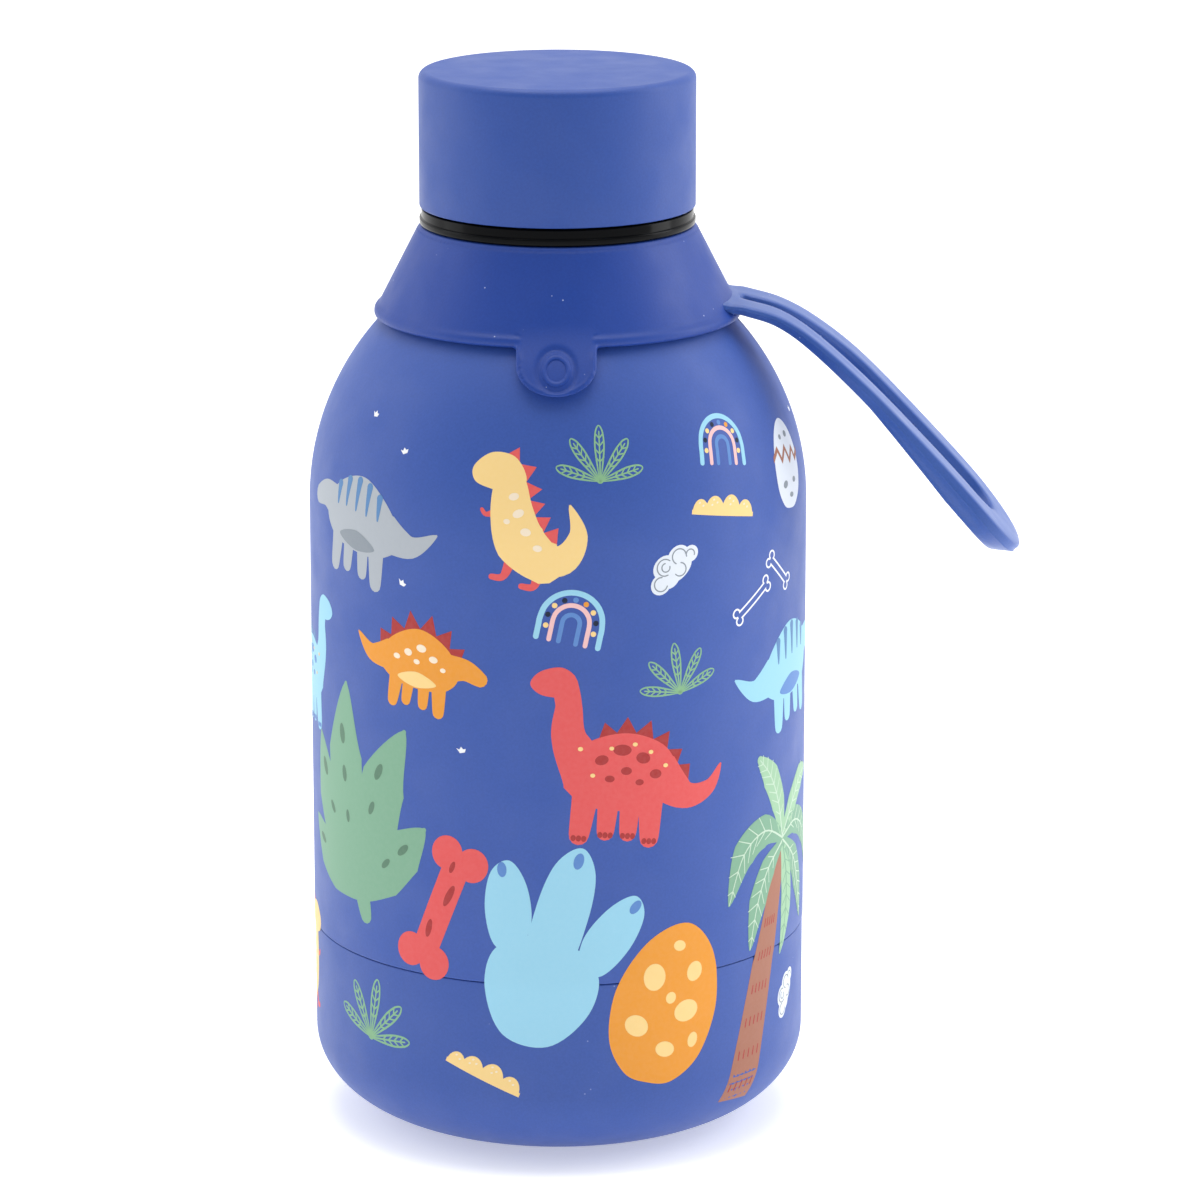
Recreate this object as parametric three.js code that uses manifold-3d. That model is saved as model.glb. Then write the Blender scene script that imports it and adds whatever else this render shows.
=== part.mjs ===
// Kids vacuum flask: a double-wall steel bottle with a silicone base boot, a swivelling silicone
// collar that carries a loop strap, and a screw cap with an insulated plug.
// Millimetres, +Z up. The origin is the centre of the resting face, the front tab faces -Y and
// the strap leaves the collar towards +X.
import * as THREE from "three";
import { mergeVertices } from "three/addons/utils/BufferGeometryUtils.js";
import Module from "manifold-3d";

const wasm = await Module();
wasm.setup();

// ---- driving dimensions ----
const GAP = 0.3; // running gap between neighbouring pieces
const BODY_R = 37.5;
const TOTAL_H = 160.1;
const STEEL = 0.5; // wall of the outer shell and base plate
const VESSEL_WALL = 0.5;
const WIDE_STEPS = 40; // facets round the wide pieces
const NARROW_STEPS = 32; // facets round the pieces of the neck and cap

// Shoulder: a quarter-ellipse that starts level with the straight wall.
const SHOULDER_Z = 95.2;
const SHOULDER_A = 41.6;
const SHOULDER_B = 40.8;
const SHOULDER_AXIS_R = BODY_R - SHOULDER_A;

// Neck and its two-start thread.
const NECK_R = 16.4;
const NECK_FILLET = 1.6;
const NECK_TOP = 149.0;
const MOUTH_R = 14.6;
const LIP_R = 16.4;
const LIP_TOP = 150.4;
const BEAD_Z = 134.2;
const BEAD_H = 0.6;
const BEAD_HALF = 0.9;
const LEAD = 8;
const STARTS = 2;
const NECK_CREST_R = 17.5;
const NECK_THREAD_Z = 139.4;
const NECK_THREAD_TURNS = 0.85;

// Base: steel corner inside a flush silicone boot.
const SEAM_Z = 29.6;
const BOOT_R = 37.35;
const BOOT_CORNER_R = 17.4;
const BOOT_CORNER_Z = 12.9;
const BOOT_WALL = 1.45;
const BOOT_FLOOR = 1.8;
const GROOVE_R = 14;
const GROOVE_WIDTH = 1.6;
const GROOVE_DEPTH = 0.6;
const PLATE_SPLIT = 50; // degrees down the corner where the shell ends and the base plate starts
const SEAT_R = 6; // raised seat in the middle of the base plate, over the evacuation hole's seal
const SEAT_RISE = 1.4;
const SEAL_TOP_R = 1.5;
const SEAL_FOOT_R = 2.2;
const SEAL_H = 0.9;
const GETTER_R = 3;
const GETTER_H = 1.4;
const GETTER_X = 13;

// Inner vessel.
const VACUUM = 3.4; // space between the two walls
const VESSEL_FLOOR_Z = 6.4;
const VESSEL_CORNER_R = 13;
const VESSEL_CORNER_Z = 10;

// Collar, tab and strap lug.
const COLLAR_TOP_Z = 136.9;
const COLLAR_TOP_R = 20.6;
const RIM_R = 26.95;
const RIM_Z = 124.7;
const RIM_UNDER_Z = 123.35;
const TAB_HALF = 5.85;
const TAB_BOTTOM_Z = 117.4;
const TAB_ARC_H = 3.8;
const TAB_THICK = 1.4;
const TAB_RING_Z = 120.9;
const TAB_RING_R = 2.6;
const TAB_RING_WIDTH = 0.7;
const TAB_RING_HEIGHT = 0.3;
const LUG_FACE_X = 27.5;
const LUG_TOP_Z = 126.0;
const LUG_UNDER_Z = 124.1;
const LUG_HALF = 7.6;

// Strap: an elongated loop that lies along a falling curve.
const STRAP_YAW = -2; // degrees the strap points towards the front
const STRAP_ROOT_X = 28.5;
const STRAP_PATH = [
  [28.5, 125.9], [33.3, 124.5], [38.4, 121.5], [45.4, 115.7], [53.8, 107.2], [62.6, 97.6], [69.8, 88.8],
];
const STRAP_HALF_ROOT = 8.2;
const STRAP_HALF = 11.55;
const STRAP_GROW_FROM = 2.5;
const STRAP_GROW_TO = 21;
const STRAND = 6.7;
const SLOT_START = 2.4;
const TIP_LENGTH = 11.5;
const STRAP_THICK = [[0, 1.5], [12, 1.9], [24, 2.25], [34, 3.05], [42, 3.65], [60, 3.8]];
const PARTING = 0.36; // share of the thickness above the parting line
const STRAP_BEVEL = 0.35;
const STRAP_DRAFT = 0.9;
const STRAP_END_DRAFT = 2.2;
const STRAND_STATIONS = 18;
const TIP_STATIONS = 12;

// Cap.
const RING_R = 20.6;
const RING_UPPER_R = 20.3;
const RING_BOTTOM_Z = 137.2;
const RING_LIP_Z = 138.2;
const RING_TOP_Z = 139.55;
const CAP_R = 20.6;
const CAP_WALL = 1.0;
const CAP_TOP_WALL = 1.2;
const CAP_EDGE = 1.2;
const LINER_R = 19.3;
const LINER_BORE_R = 17.8;
const CAP_CREST_R = 16.85;
const CAP_THREAD_Z = 139.6;
const CAP_THREAD_TURNS = 0.45;
const THREAD_LAG = 1.8; // how far the cap's ridges lie under the neck's
const DECK_UNDER_Z = 152.1;
const DECK_THICK = 1.4;
const PLUG_R = 13.1;
const PLUG_BORE_R = 11.6;
const PLUG_END_Z = 144.6;
const COVER_R = 14.1;
const COVER_WALL = 0.6;
const COVER_TOP_Z = 149.4;
const GASKET_OUTER_R = 17.3;
const GASKET_Z = 150.7;
const GASKET_H = 1.1;
const FOAM_R = 17.2;

// ---- profile helpers: points are [radius, height] ----
const radians = (degrees) => degrees * Math.PI / 180;

// Points round an ellipse between two angles in degrees, both ends included.
function ellipse(centreR, centreZ, a, b, from, to, steps) {
  const points = [];
  for (let i = 0; i <= steps; i += 1) {
    const angle = radians(from + (to - from) * i / steps);
    points.push([centreR + a * Math.cos(angle), centreZ + b * Math.sin(angle)]);
  }
  return points;
}

// Angle on a shoulder ellipse at which its radius comes in to the given one.
function angleAtRadius(radius, a) {
  return Math.acos((radius - SHOULDER_AXIS_R) / a) * 180 / Math.PI;
}

// Shoulder line offset from the outer skin, from the straight wall up to a neck radius.
function shoulder(offset, neckRadius, from, steps) {
  const a = SHOULDER_A + offset;
  const b = SHOULDER_B + offset;
  return ellipse(SHOULDER_AXIS_R, SHOULDER_Z, a, b, from, angleAtRadius(neckRadius, a), steps);
}

// ---- solids ----

// Merge shared vertices, drop the triangles that collapsed and face the skin outwards.
function closeUp(geometry) {
  const bare = geometry.clone();
  bare.deleteAttribute("normal");
  bare.deleteAttribute("uv");
  const merged = mergeVertices(bare, 1e-4);
  const position = merged.attributes.position;
  const kept = [];
  const a = new THREE.Vector3();
  const b = new THREE.Vector3();
  const c = new THREE.Vector3();
  let volume = 0;
  for (let i = 0; i < merged.index.count; i += 3) {
    const [p, q, r] = [merged.index.getX(i), merged.index.getX(i + 1), merged.index.getX(i + 2)];
    if (p === q || q === r || r === p) {
      continue;
    }
    a.fromBufferAttribute(position, p);
    b.fromBufferAttribute(position, q);
    c.fromBufferAttribute(position, r);
    volume += a.dot(b.cross(c));
    kept.push([p, q, r]);
  }
  merged.setIndex(kept.flatMap(([p, q, r]) => (volume < 0 ? [p, r, q] : [p, q, r])));
  return merged;
}

// Turn a profile about Z. The profile closes on itself unless both ends lie on the axis.
function turned(profile, steps) {
  const points = profile.map(([radius, height]) => new THREE.Vector2(radius, height));
  const onAxis = points[0].x === 0 && points[points.length - 1].x === 0;
  if (!onAxis) {
    points.push(points[0].clone());
  }
  return closeUp(new THREE.LatheGeometry(points, steps).rotateX(Math.PI / 2));
}

function toManifold(geometry) {
  const merged = closeUp(geometry);
  const vertProperties = new Float32Array(merged.attributes.position.array);
  const triVerts = new Uint32Array(merged.index.array);
  return new wasm.Manifold(new wasm.Mesh({ numProp: 3, vertProperties, triVerts }));
}

function fromManifold(solid) {
  const mesh = solid.getMesh();
  const geometry = new THREE.BufferGeometry();
  geometry.setAttribute("position", new THREE.BufferAttribute(new Float32Array(mesh.vertProperties), 3));
  geometry.setIndex(Array.from(mesh.triVerts));
  return geometry;
}

// Every ridge of a thread: a trapezium section wound into a helix, tapering out at both ends.
// rootR is the wall it stands on, crestR the free edge; the ridge sinks a little into the wall.
function threadRidges(rootR, crestR, startZ, turns) {
  const sink = Math.sign(rootR - crestR) * 0.25;
  const rootHalf = 1.05;
  const crestHalf = 0.45;
  const steps = Math.round(NARROW_STEPS * turns);
  const section = new THREE.Shape([
    new THREE.Vector2(sink, -rootHalf),
    new THREE.Vector2(crestR - rootR, -crestHalf),
    new THREE.Vector2(crestR - rootR, crestHalf),
    new THREE.Vector2(sink, rootHalf),
  ]);
  const ridges = [];
  for (let start = 0; start < STARTS; start += 1) {
    const ridge = new THREE.ExtrudeGeometry(section, { depth: turns, steps, bevelEnabled: false });
    const position = ridge.attributes.position;
    for (let i = 0; i < position.count; i += 1) {
      const along = position.getZ(i);
      const fade = Math.min(1, 0.25 + Math.min(along, turns - along) * NARROW_STEPS / 3);
      const out = position.getX(i);
      const radius = rootR + (Math.sign(out) === Math.sign(sink) ? out : out * fade);
      const angle = 2 * Math.PI * (along + start / STARTS);
      const height = startZ + along * LEAD + position.getY(i) * fade;
      position.setXYZ(i, radius * Math.cos(angle), radius * Math.sin(angle), height);
    }
    ridges.push(toManifold(ridge));
  }
  return ridges;
}

// A prism whose outline lies in the front view (x across, z up), reaching from the axis to -Y.
function frontPrism(shape, depth) {
  const prism = new THREE.ExtrudeGeometry(shape, { depth, bevelEnabled: false, curveSegments: 8 });
  return prism.rotateX(Math.PI / 2);
}

// ---- bottle ----
const STEP_R = BOOT_R - BOOT_WALL - GAP;
const CORNER_A = BOOT_CORNER_R - BOOT_WALL - GAP + 0.15;
const CORNER_B = BOOT_CORNER_Z - BOOT_FLOOR - GAP + 1.1;
const STEEL_FLOOR_Z = BOOT_FLOOR + GAP;
const CORNER_AXIS_R = STEP_R - CORNER_A;
const CORNER_AXIS_Z = STEEL_FLOOR_Z + CORNER_B;
const LIP_Z = SEAM_Z + GAP;
const LIP_ROUND = 0.5;

// The bottle's outer line from the straight wall up the shoulder, round the neck's fillet and over
// the bead that holds the collar down. An offset above 0 gives the line of the space around it.
function shoulderToBead(offset, steps) {
  const neck = NECK_R + offset;
  const neckFootZ = SHOULDER_Z + SHOULDER_B * Math.sin(radians(angleAtRadius(NECK_R, SHOULDER_A)));
  return [
    ...shoulder(offset, neck + 0.7 * NECK_FILLET, 0, steps),
    [neck + 0.25, neckFootZ + 0.3 + offset / 2],
    [neck, neckFootZ + NECK_FILLET],
    [neck, BEAD_Z - BEAD_HALF - offset],
    [neck + BEAD_H, BEAD_Z - 0.3 - offset / 2],
    [neck + BEAD_H, BEAD_Z + 0.3 + offset / 2],
    [neck, BEAD_Z + BEAD_HALF + offset],
  ];
}

function outerShell() {
  const innerAxis = STEP_R - STEEL;
  const outside = [
    ...ellipse(CORNER_AXIS_R, CORNER_AXIS_Z, CORNER_A, CORNER_B, -PLATE_SPLIT, 0, 3),
    [STEP_R, LIP_Z],
    ...ellipse(BODY_R - LIP_ROUND, LIP_Z + LIP_ROUND, LIP_ROUND, LIP_ROUND, -90, 0, 2),
    ...shoulderToBead(0, 8),
    [NECK_R, NECK_TOP],
  ];
  const inside = [
    [NECK_R - STEEL, NECK_TOP],
    ...shoulder(-STEEL, NECK_R - STEEL, 0, 5).reverse(),
    [BODY_R - STEEL, LIP_Z + STEEL + 0.2],
    [innerAxis, LIP_Z + STEEL + 0.2],
    ...ellipse(CORNER_AXIS_R, CORNER_AXIS_Z, CORNER_A - STEEL, CORNER_B - STEEL, 0, -PLATE_SPLIT, 3),
  ];
  let solid = toManifold(turned([...outside, ...inside], WIDE_STEPS));
  for (const ridge of threadRidges(NECK_R, NECK_CREST_R, NECK_THREAD_Z, NECK_THREAD_TURNS)) {
    solid = solid.add(ridge);
  }
  return fromManifold(solid);
}

function outerBasePlate() {
  const first = -(PLATE_SPLIT + 1.5);
  return turned([
    [0, STEEL_FLOOR_Z + SEAT_RISE],
    [SEAT_R - SEAT_RISE, STEEL_FLOOR_Z + SEAT_RISE],
    [SEAT_R, STEEL_FLOOR_Z],
    ...ellipse(CORNER_AXIS_R, CORNER_AXIS_Z, CORNER_A, CORNER_B, -90, first, 3),
    ...ellipse(CORNER_AXIS_R, CORNER_AXIS_Z, CORNER_A - STEEL, CORNER_B - STEEL, first, -90, 3),
    [SEAT_R + 0.4, STEEL_FLOOR_Z + STEEL],
    [SEAT_R - 1, STEEL_FLOOR_Z + STEEL + SEAT_RISE],
    [0, STEEL_FLOOR_Z + STEEL + SEAT_RISE],
  ], WIDE_STEPS);
}

function innerVessel() {
  const outerR = BODY_R - STEEL - VACUUM;
  const innerR = outerR - VESSEL_WALL;
  const offset = outerR - BODY_R;
  const neckOuter = MOUTH_R + VESSEL_WALL;
  const cornerR = outerR - VESSEL_CORNER_R;
  const cornerZ = VESSEL_FLOOR_Z + VESSEL_CORNER_Z;
  return turned([
    [0, VESSEL_FLOOR_Z],
    ...ellipse(cornerR, cornerZ, VESSEL_CORNER_R, VESSEL_CORNER_Z, -90, 0, 4),
    ...shoulder(offset, neckOuter, 0, 5),
    [neckOuter, NECK_TOP + GAP],
    [LIP_R - 0.2, NECK_TOP + GAP],
    [LIP_R, NECK_TOP + GAP + 0.3],
    [LIP_R, LIP_TOP - 0.4],
    [LIP_R - 0.5, LIP_TOP],
    [MOUTH_R + 0.7, LIP_TOP],
    [MOUTH_R, LIP_TOP - 0.8],
    ...shoulder(offset - VESSEL_WALL, MOUTH_R, 0, 5).reverse(),
    ...ellipse(cornerR, cornerZ, innerR - cornerR, VESSEL_CORNER_Z - VESSEL_WALL, 0, -90, 4),
    [0, VESSEL_FLOOR_Z + VESSEL_WALL],
  ], NARROW_STEPS);
}

function baseBoot() {
  const axisR = BOOT_R - BOOT_CORNER_R;
  const innerA = CORNER_A + GAP;
  const innerB = CORNER_B + GAP;
  return turned([
    [0, 0],
    [GROOVE_R - GROOVE_WIDTH / 2, 0],
    [GROOVE_R - GROOVE_WIDTH / 4, GROOVE_DEPTH],
    [GROOVE_R + GROOVE_WIDTH / 4, GROOVE_DEPTH],
    [GROOVE_R + GROOVE_WIDTH / 2, 0],
    ...ellipse(axisR, BOOT_CORNER_Z, BOOT_CORNER_R, BOOT_CORNER_Z, -90, 0, 7),
    [BOOT_R, SEAM_Z - 0.25],
    [BOOT_R - 0.25, SEAM_Z],
    [STEP_R + GAP, SEAM_Z],
    ...ellipse(CORNER_AXIS_R, CORNER_AXIS_Z, innerA, innerB, 0, -90, 4),
    [0, BOOT_FLOOR],
  ], WIDE_STEPS);
}

function getterPellet() {
  return new THREE.CylinderGeometry(GETTER_R, GETTER_R, GETTER_H, 24).rotateX(Math.PI / 2);
}

function sealBead() {
  return new THREE.CylinderGeometry(SEAL_TOP_R, SEAL_FOOT_R, SEAL_H, 24).rotateX(Math.PI / 2);
}

// ---- collar ----

// The bottle's shoulder and neck, grown by an offset, as a solid to cut or intersect with.
function shoulderCore(offset) {
  return toManifold(turned([
    [0, SHOULDER_Z],
    ...shoulderToBead(offset, 8),
    [NECK_R + offset, COLLAR_TOP_Z + 5],
    [0, COLLAR_TOP_Z + 5],
  ], WIDE_STEPS));
}

function siliconeCollar() {
  const skirt = toManifold(turned([
    [0, RIM_UNDER_Z],
    [RIM_R - 0.45, RIM_UNDER_Z],
    [RIM_R, RIM_Z - 0.3],
    [RIM_R - 0.1, RIM_Z + 0.1],
    [COLLAR_TOP_R, COLLAR_TOP_Z - 0.3],
    [COLLAR_TOP_R - 0.3, COLLAR_TOP_Z],
    [0, COLLAR_TOP_Z],
  ], WIDE_STEPS));

  const arcCentreZ = TAB_BOTTOM_Z + TAB_ARC_H;
  const tabShape = new THREE.Shape();
  tabShape.moveTo(-TAB_HALF, RIM_Z);
  tabShape.lineTo(-TAB_HALF, arcCentreZ);
  tabShape.absellipse(0, arcCentreZ, TAB_HALF, TAB_ARC_H, Math.PI, 2 * Math.PI, false, 0);
  tabShape.lineTo(TAB_HALF, RIM_Z);
  const ringShape = new THREE.Shape();
  ringShape.absarc(0, TAB_RING_Z, TAB_RING_R, 0, 2 * Math.PI, false);
  const ringHole = new THREE.Path();
  ringHole.absarc(0, TAB_RING_Z, TAB_RING_R - TAB_RING_WIDTH, 0, 2 * Math.PI, true);
  ringShape.holes.push(ringHole);
  const skin = GAP + TAB_THICK;
  const tab = toManifold(frontPrism(tabShape, BODY_R)).intersect(shoulderCore(skin));
  const ring = toManifold(frontPrism(ringShape, BODY_R)).intersect(shoulderCore(skin + TAB_RING_HEIGHT));

  const lugStartX = COLLAR_TOP_R - 0.6; // inside the cone, where the lug's back is cut away
  const lugHeight = LUG_TOP_Z - LUG_UNDER_Z;
  const lug = new THREE.BoxGeometry(LUG_FACE_X - lugStartX, 2 * LUG_HALF, lugHeight);
  lug.translate((LUG_FACE_X + lugStartX) / 2, 0, LUG_UNDER_Z + lugHeight / 2);
  lug.rotateZ(radians(STRAP_YAW));

  return fromManifold(skirt.add(tab).add(ring).add(toManifold(lug)).subtract(shoulderCore(GAP)));
}

// ---- strap ----
const strapCurve = new THREE.SplineCurve(STRAP_PATH.map(([x, z]) => new THREE.Vector2(x, z)));
const STRAP_LENGTH = strapCurve.getLength();

function smooth(value, from, to) {
  const share = Math.min(1, Math.max(0, (value - from) / (to - from)));
  return share * share * (3 - 2 * share);
}

function strapThickness(s) {
  const next = Math.max(1, STRAP_THICK.findIndex(([at]) => at >= s));
  const [s0, t0] = STRAP_THICK[next - 1];
  const [s1, t1] = STRAP_THICK[next];
  return t0 + (t1 - t0) * (s - s0) / (s1 - s0);
}

function strapHalf(s) {
  return STRAP_HALF_ROOT + (STRAP_HALF - STRAP_HALF_ROOT) * smooth(s, STRAP_GROW_FROM, STRAP_GROW_TO);
}

// Stations round the loop. Each one joins a point of the slot's edge to a point of the outer edge,
// both as [distance along the strap, distance across it], and says how far the outer side leans in.
function strapStations() {
  const tipFrom = STRAP_LENGTH - TIP_LENGTH;
  const slotEnd = STRAP_LENGTH - STRAND;
  const slotTip = slotEnd - tipFrom;
  const far = [];
  for (let i = 0; i < STRAND_STATIONS; i += 1) {
    const s = tipFrom * i / STRAND_STATIONS;
    const slotHalf = strapHalf(s) - STRAND;
    const inner = [SLOT_START + s * (1 - SLOT_START / tipFrom), slotHalf];
    far.push({ inner, outer: [s, strapHalf(s)], draft: STRAP_DRAFT });
  }
  const tip = [];
  for (let i = 0; i <= TIP_STATIONS; i += 1) {
    const angle = Math.PI / 2 - Math.PI * i / TIP_STATIONS;
    const [c, s] = [Math.cos(angle), Math.sin(angle)];
    tip.push({
      inner: [tipFrom + slotTip * c, (STRAP_HALF - STRAND) * s],
      outer: [tipFrom + TIP_LENGTH * Math.abs(c) ** 0.8, STRAP_HALF * Math.sign(s) * Math.abs(s) ** 0.8],
      draft: STRAP_DRAFT + (STRAP_END_DRAFT - STRAP_DRAFT) * Math.abs(c),
    });
  }
  const near = far.map(({ inner, outer, draft }) => ({
    inner: [inner[0], -inner[1]],
    outer: [outer[0], -outer[1]],
    draft,
  }));
  return [...far, ...tip, ...near.reverse()];
}

// Section of a strand: flat top with small bevels, a parting line and drafted lower sides.
// across runs 0..1 from slot to outer edge, plus a shift in millimetres; depth is below the top.
function strandSection(thickness, draft) {
  const parting = thickness * PARTING;
  return [
    { across: 0, shift: 0, depth: STRAP_BEVEL },
    { across: 0, shift: STRAP_BEVEL, depth: 0 },
    { across: 1, shift: -STRAP_BEVEL, depth: 0 },
    { across: 1, shift: 0, depth: STRAP_BEVEL },
    { across: 1, shift: 0, depth: parting },
    { across: 1, shift: -draft, depth: thickness },
    { across: 0, shift: STRAP_DRAFT * 0.5, depth: thickness },
    { across: 0, shift: 0, depth: parting },
  ];
}

function strapPoint(station, corner) {
  const [si, yi] = station.inner;
  const [so, yo] = station.outer;
  const width = Math.hypot(so - si, yo - yi);
  const { across, shift, depth } = strandSection(strapThickness(so), station.draft)[corner];
  const share = across + shift / width;
  const s = si + (so - si) * share;
  const y = yi + (yo - yi) * share;
  const at = Math.min(1, Math.max(0, s / STRAP_LENGTH));
  const centre = strapCurve.getPointAt(at);
  const tangent = strapCurve.getTangentAt(at);
  return [centre.x + tangent.y * depth, y, centre.y - tangent.x * depth];
}

// The loop's skin is a torus whose rows and columns are laid on the stations and section corners.
function carryStrap() {
  const stations = strapStations();
  const corners = strandSection(1, 0).length;
  const loop = new THREE.TorusGeometry(10, 2, corners, stations.length);
  const position = loop.attributes.position;
  const columns = stations.length + 1;
  for (let i = 0; i < position.count; i += 1) {
    const station = stations[(i % columns) % stations.length];
    const corner = Math.floor(i / columns) % corners;
    position.setXYZ(i, ...strapPoint(station, corner));
  }
  loop.translate(-STRAP_ROOT_X, 0, 0);
  loop.rotateZ(radians(STRAP_YAW));
  loop.translate(STRAP_ROOT_X * Math.cos(radians(STRAP_YAW)), STRAP_ROOT_X * Math.sin(radians(STRAP_YAW)), 0);
  return closeUp(loop);
}

// ---- cap ----
function capShell() {
  const bottomZ = RING_TOP_Z + GAP;
  return turned([
    [CAP_R - CAP_WALL, bottomZ],
    [CAP_R - 0.25, bottomZ],
    [CAP_R, bottomZ + 0.25],
    ...ellipse(CAP_R - CAP_EDGE, TOTAL_H - CAP_EDGE, CAP_EDGE, CAP_EDGE, 0, 90, 4),
    [0, TOTAL_H],
    [0, TOTAL_H - CAP_TOP_WALL],
    [CAP_R - CAP_WALL, TOTAL_H - CAP_TOP_WALL],
  ], NARROW_STEPS);
}

function capLiner() {
  const topZ = TOTAL_H - CAP_TOP_WALL - GAP;
  const deckTopZ = DECK_UNDER_Z + DECK_THICK;
  let solid = toManifold(turned([
    [LINER_BORE_R, RING_BOTTOM_Z + 0.3],
    [LINER_BORE_R + 0.3, RING_BOTTOM_Z],
    [RING_R - 0.4, RING_BOTTOM_Z],
    [RING_R, RING_BOTTOM_Z + 0.4],
    [RING_R, RING_LIP_Z - 0.2],
    [RING_UPPER_R, RING_LIP_Z],
    [RING_UPPER_R, RING_TOP_Z],
    [LINER_R, RING_TOP_Z],
    [LINER_R, topZ],
    [LINER_BORE_R, topZ],
    [LINER_BORE_R, deckTopZ],
    [PLUG_BORE_R, deckTopZ],
    [PLUG_BORE_R, PLUG_END_Z],
    [PLUG_R, PLUG_END_Z],
    [PLUG_R, DECK_UNDER_Z],
    [LINER_BORE_R, DECK_UNDER_Z],
  ], NARROW_STEPS));
  const threadZ = CAP_THREAD_Z - THREAD_LAG + LEAD / STARTS;
  for (const ridge of threadRidges(LINER_BORE_R, CAP_CREST_R, threadZ, CAP_THREAD_TURNS)) {
    solid = solid.add(ridge);
  }
  return fromManifold(solid);
}

function capFoamDisc() {
  const bottomZ = PLUG_END_Z + 0.4;
  const deckTopZ = DECK_UNDER_Z + DECK_THICK;
  const stemR = PLUG_BORE_R - GAP;
  return turned([
    [0, bottomZ],
    [stemR, bottomZ],
    [stemR, deckTopZ + GAP],
    [FOAM_R, deckTopZ + GAP],
    [FOAM_R, TOTAL_H - CAP_TOP_WALL - GAP],
    [0, TOTAL_H - CAP_TOP_WALL - GAP],
  ], NARROW_STEPS);
}

function capPlugCover() {
  const innerR = COVER_R - COVER_WALL;
  const floorTop = PLUG_END_Z - GAP;
  const floorUnder = floorTop - COVER_WALL;
  return turned([
    [0, floorUnder],
    [COVER_R - 0.8, floorUnder],
    [COVER_R, floorUnder + 0.8],
    [COVER_R, COVER_TOP_Z],
    [innerR, COVER_TOP_Z],
    [innerR, floorTop],
    [0, floorTop],
  ], NARROW_STEPS);
}

function capGasket() {
  const innerR = PLUG_R + GAP;
  return turned([
    [innerR, GASKET_Z + 0.2],
    [innerR + 0.2, GASKET_Z],
    [GASKET_OUTER_R - 0.3, GASKET_Z],
    [GASKET_OUTER_R, GASKET_Z + 0.3],
    [GASKET_OUTER_R, GASKET_Z + GASKET_H],
    [innerR, GASKET_Z + GASKET_H],
  ], NARROW_STEPS);
}

// ---- scene ----
const look = (color, roughness, metalness) => new THREE.MeshStandardMaterial({ color, roughness, metalness });
const PAINT = 0x4561ad;
const SILICONE = 0x4160ae;
const STEEL_GREY = 0xb9bcc0;

const bottle = new THREE.Group();

function place(name, geometry, material, x = 0, y = 0, z = 0) {
  const mesh = new THREE.Mesh(geometry, material);
  mesh.name = name;
  mesh.position.set(x, y, z);
  bottle.add(mesh);
}

place("outer_shell", outerShell(), look(PAINT, 0.6, 0));
place("inner_vessel", innerVessel(), look(STEEL_GREY, 0.3, 1));
place("outer_base_plate", outerBasePlate(), look(STEEL_GREY, 0.35, 1));
const getterZ = STEEL_FLOOR_Z + STEEL + GAP + GETTER_H / 2;
place("getter_pellet", getterPellet(), look(0x6e6f72, 0.7, 0.4), GETTER_X, 0, getterZ);
const sealZ = STEEL_FLOOR_Z + SEAT_RISE - GAP - SEAL_H / 2;
place("vacuum_seal_bead", sealBead(), look(0x4b4d50, 0.3, 0), 0, 0, sealZ);
place("base_boot", baseBoot(), look(SILICONE, 0.65, 0));
place("silicone_collar", siliconeCollar(), look(SILICONE, 0.6, 0));
place("carry_strap", carryStrap(), look(SILICONE, 0.55, 0));
place("cap_shell", capShell(), look(PAINT, 0.6, 0));
place("cap_liner", capLiner(), look(0x0d0f13, 0.25, 0));
place("cap_foam_disc", capFoamDisc(), look(0xe8e6e0, 0.9, 0));
place("cap_plug_cover", capPlugCover(), look(0x17191d, 0.4, 0));
place("cap_gasket", capGasket(), look(0xd9dcde, 0.6, 0));

export default bottle;
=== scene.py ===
# Looks of the kids vacuum flask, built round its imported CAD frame.
# Lengths are in millimetres until a mesh is made, and every mesh is stored in metres.
# The origin is the centre of the resting face, the front faces -Y and the strap leaves towards +X.
import math

import bpy
import numpy as np
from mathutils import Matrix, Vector
from mathutils.geometry import delaunay_2d_cdt


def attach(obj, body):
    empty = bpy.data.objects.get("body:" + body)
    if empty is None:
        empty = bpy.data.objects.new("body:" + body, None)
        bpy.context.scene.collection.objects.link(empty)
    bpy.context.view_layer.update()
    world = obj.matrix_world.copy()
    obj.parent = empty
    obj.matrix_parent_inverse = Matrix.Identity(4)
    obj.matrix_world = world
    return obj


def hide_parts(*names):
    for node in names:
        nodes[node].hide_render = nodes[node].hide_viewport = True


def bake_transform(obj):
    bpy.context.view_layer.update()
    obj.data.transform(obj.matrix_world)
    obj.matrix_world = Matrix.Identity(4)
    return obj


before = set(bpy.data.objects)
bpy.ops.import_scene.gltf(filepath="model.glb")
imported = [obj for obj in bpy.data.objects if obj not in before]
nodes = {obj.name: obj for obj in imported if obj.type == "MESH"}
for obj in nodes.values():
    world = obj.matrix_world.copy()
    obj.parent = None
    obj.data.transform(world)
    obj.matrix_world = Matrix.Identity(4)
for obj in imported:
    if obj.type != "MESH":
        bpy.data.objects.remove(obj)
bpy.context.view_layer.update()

MM = 0.001
TURN_STEPS = 256  # facets round a turned piece

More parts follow.
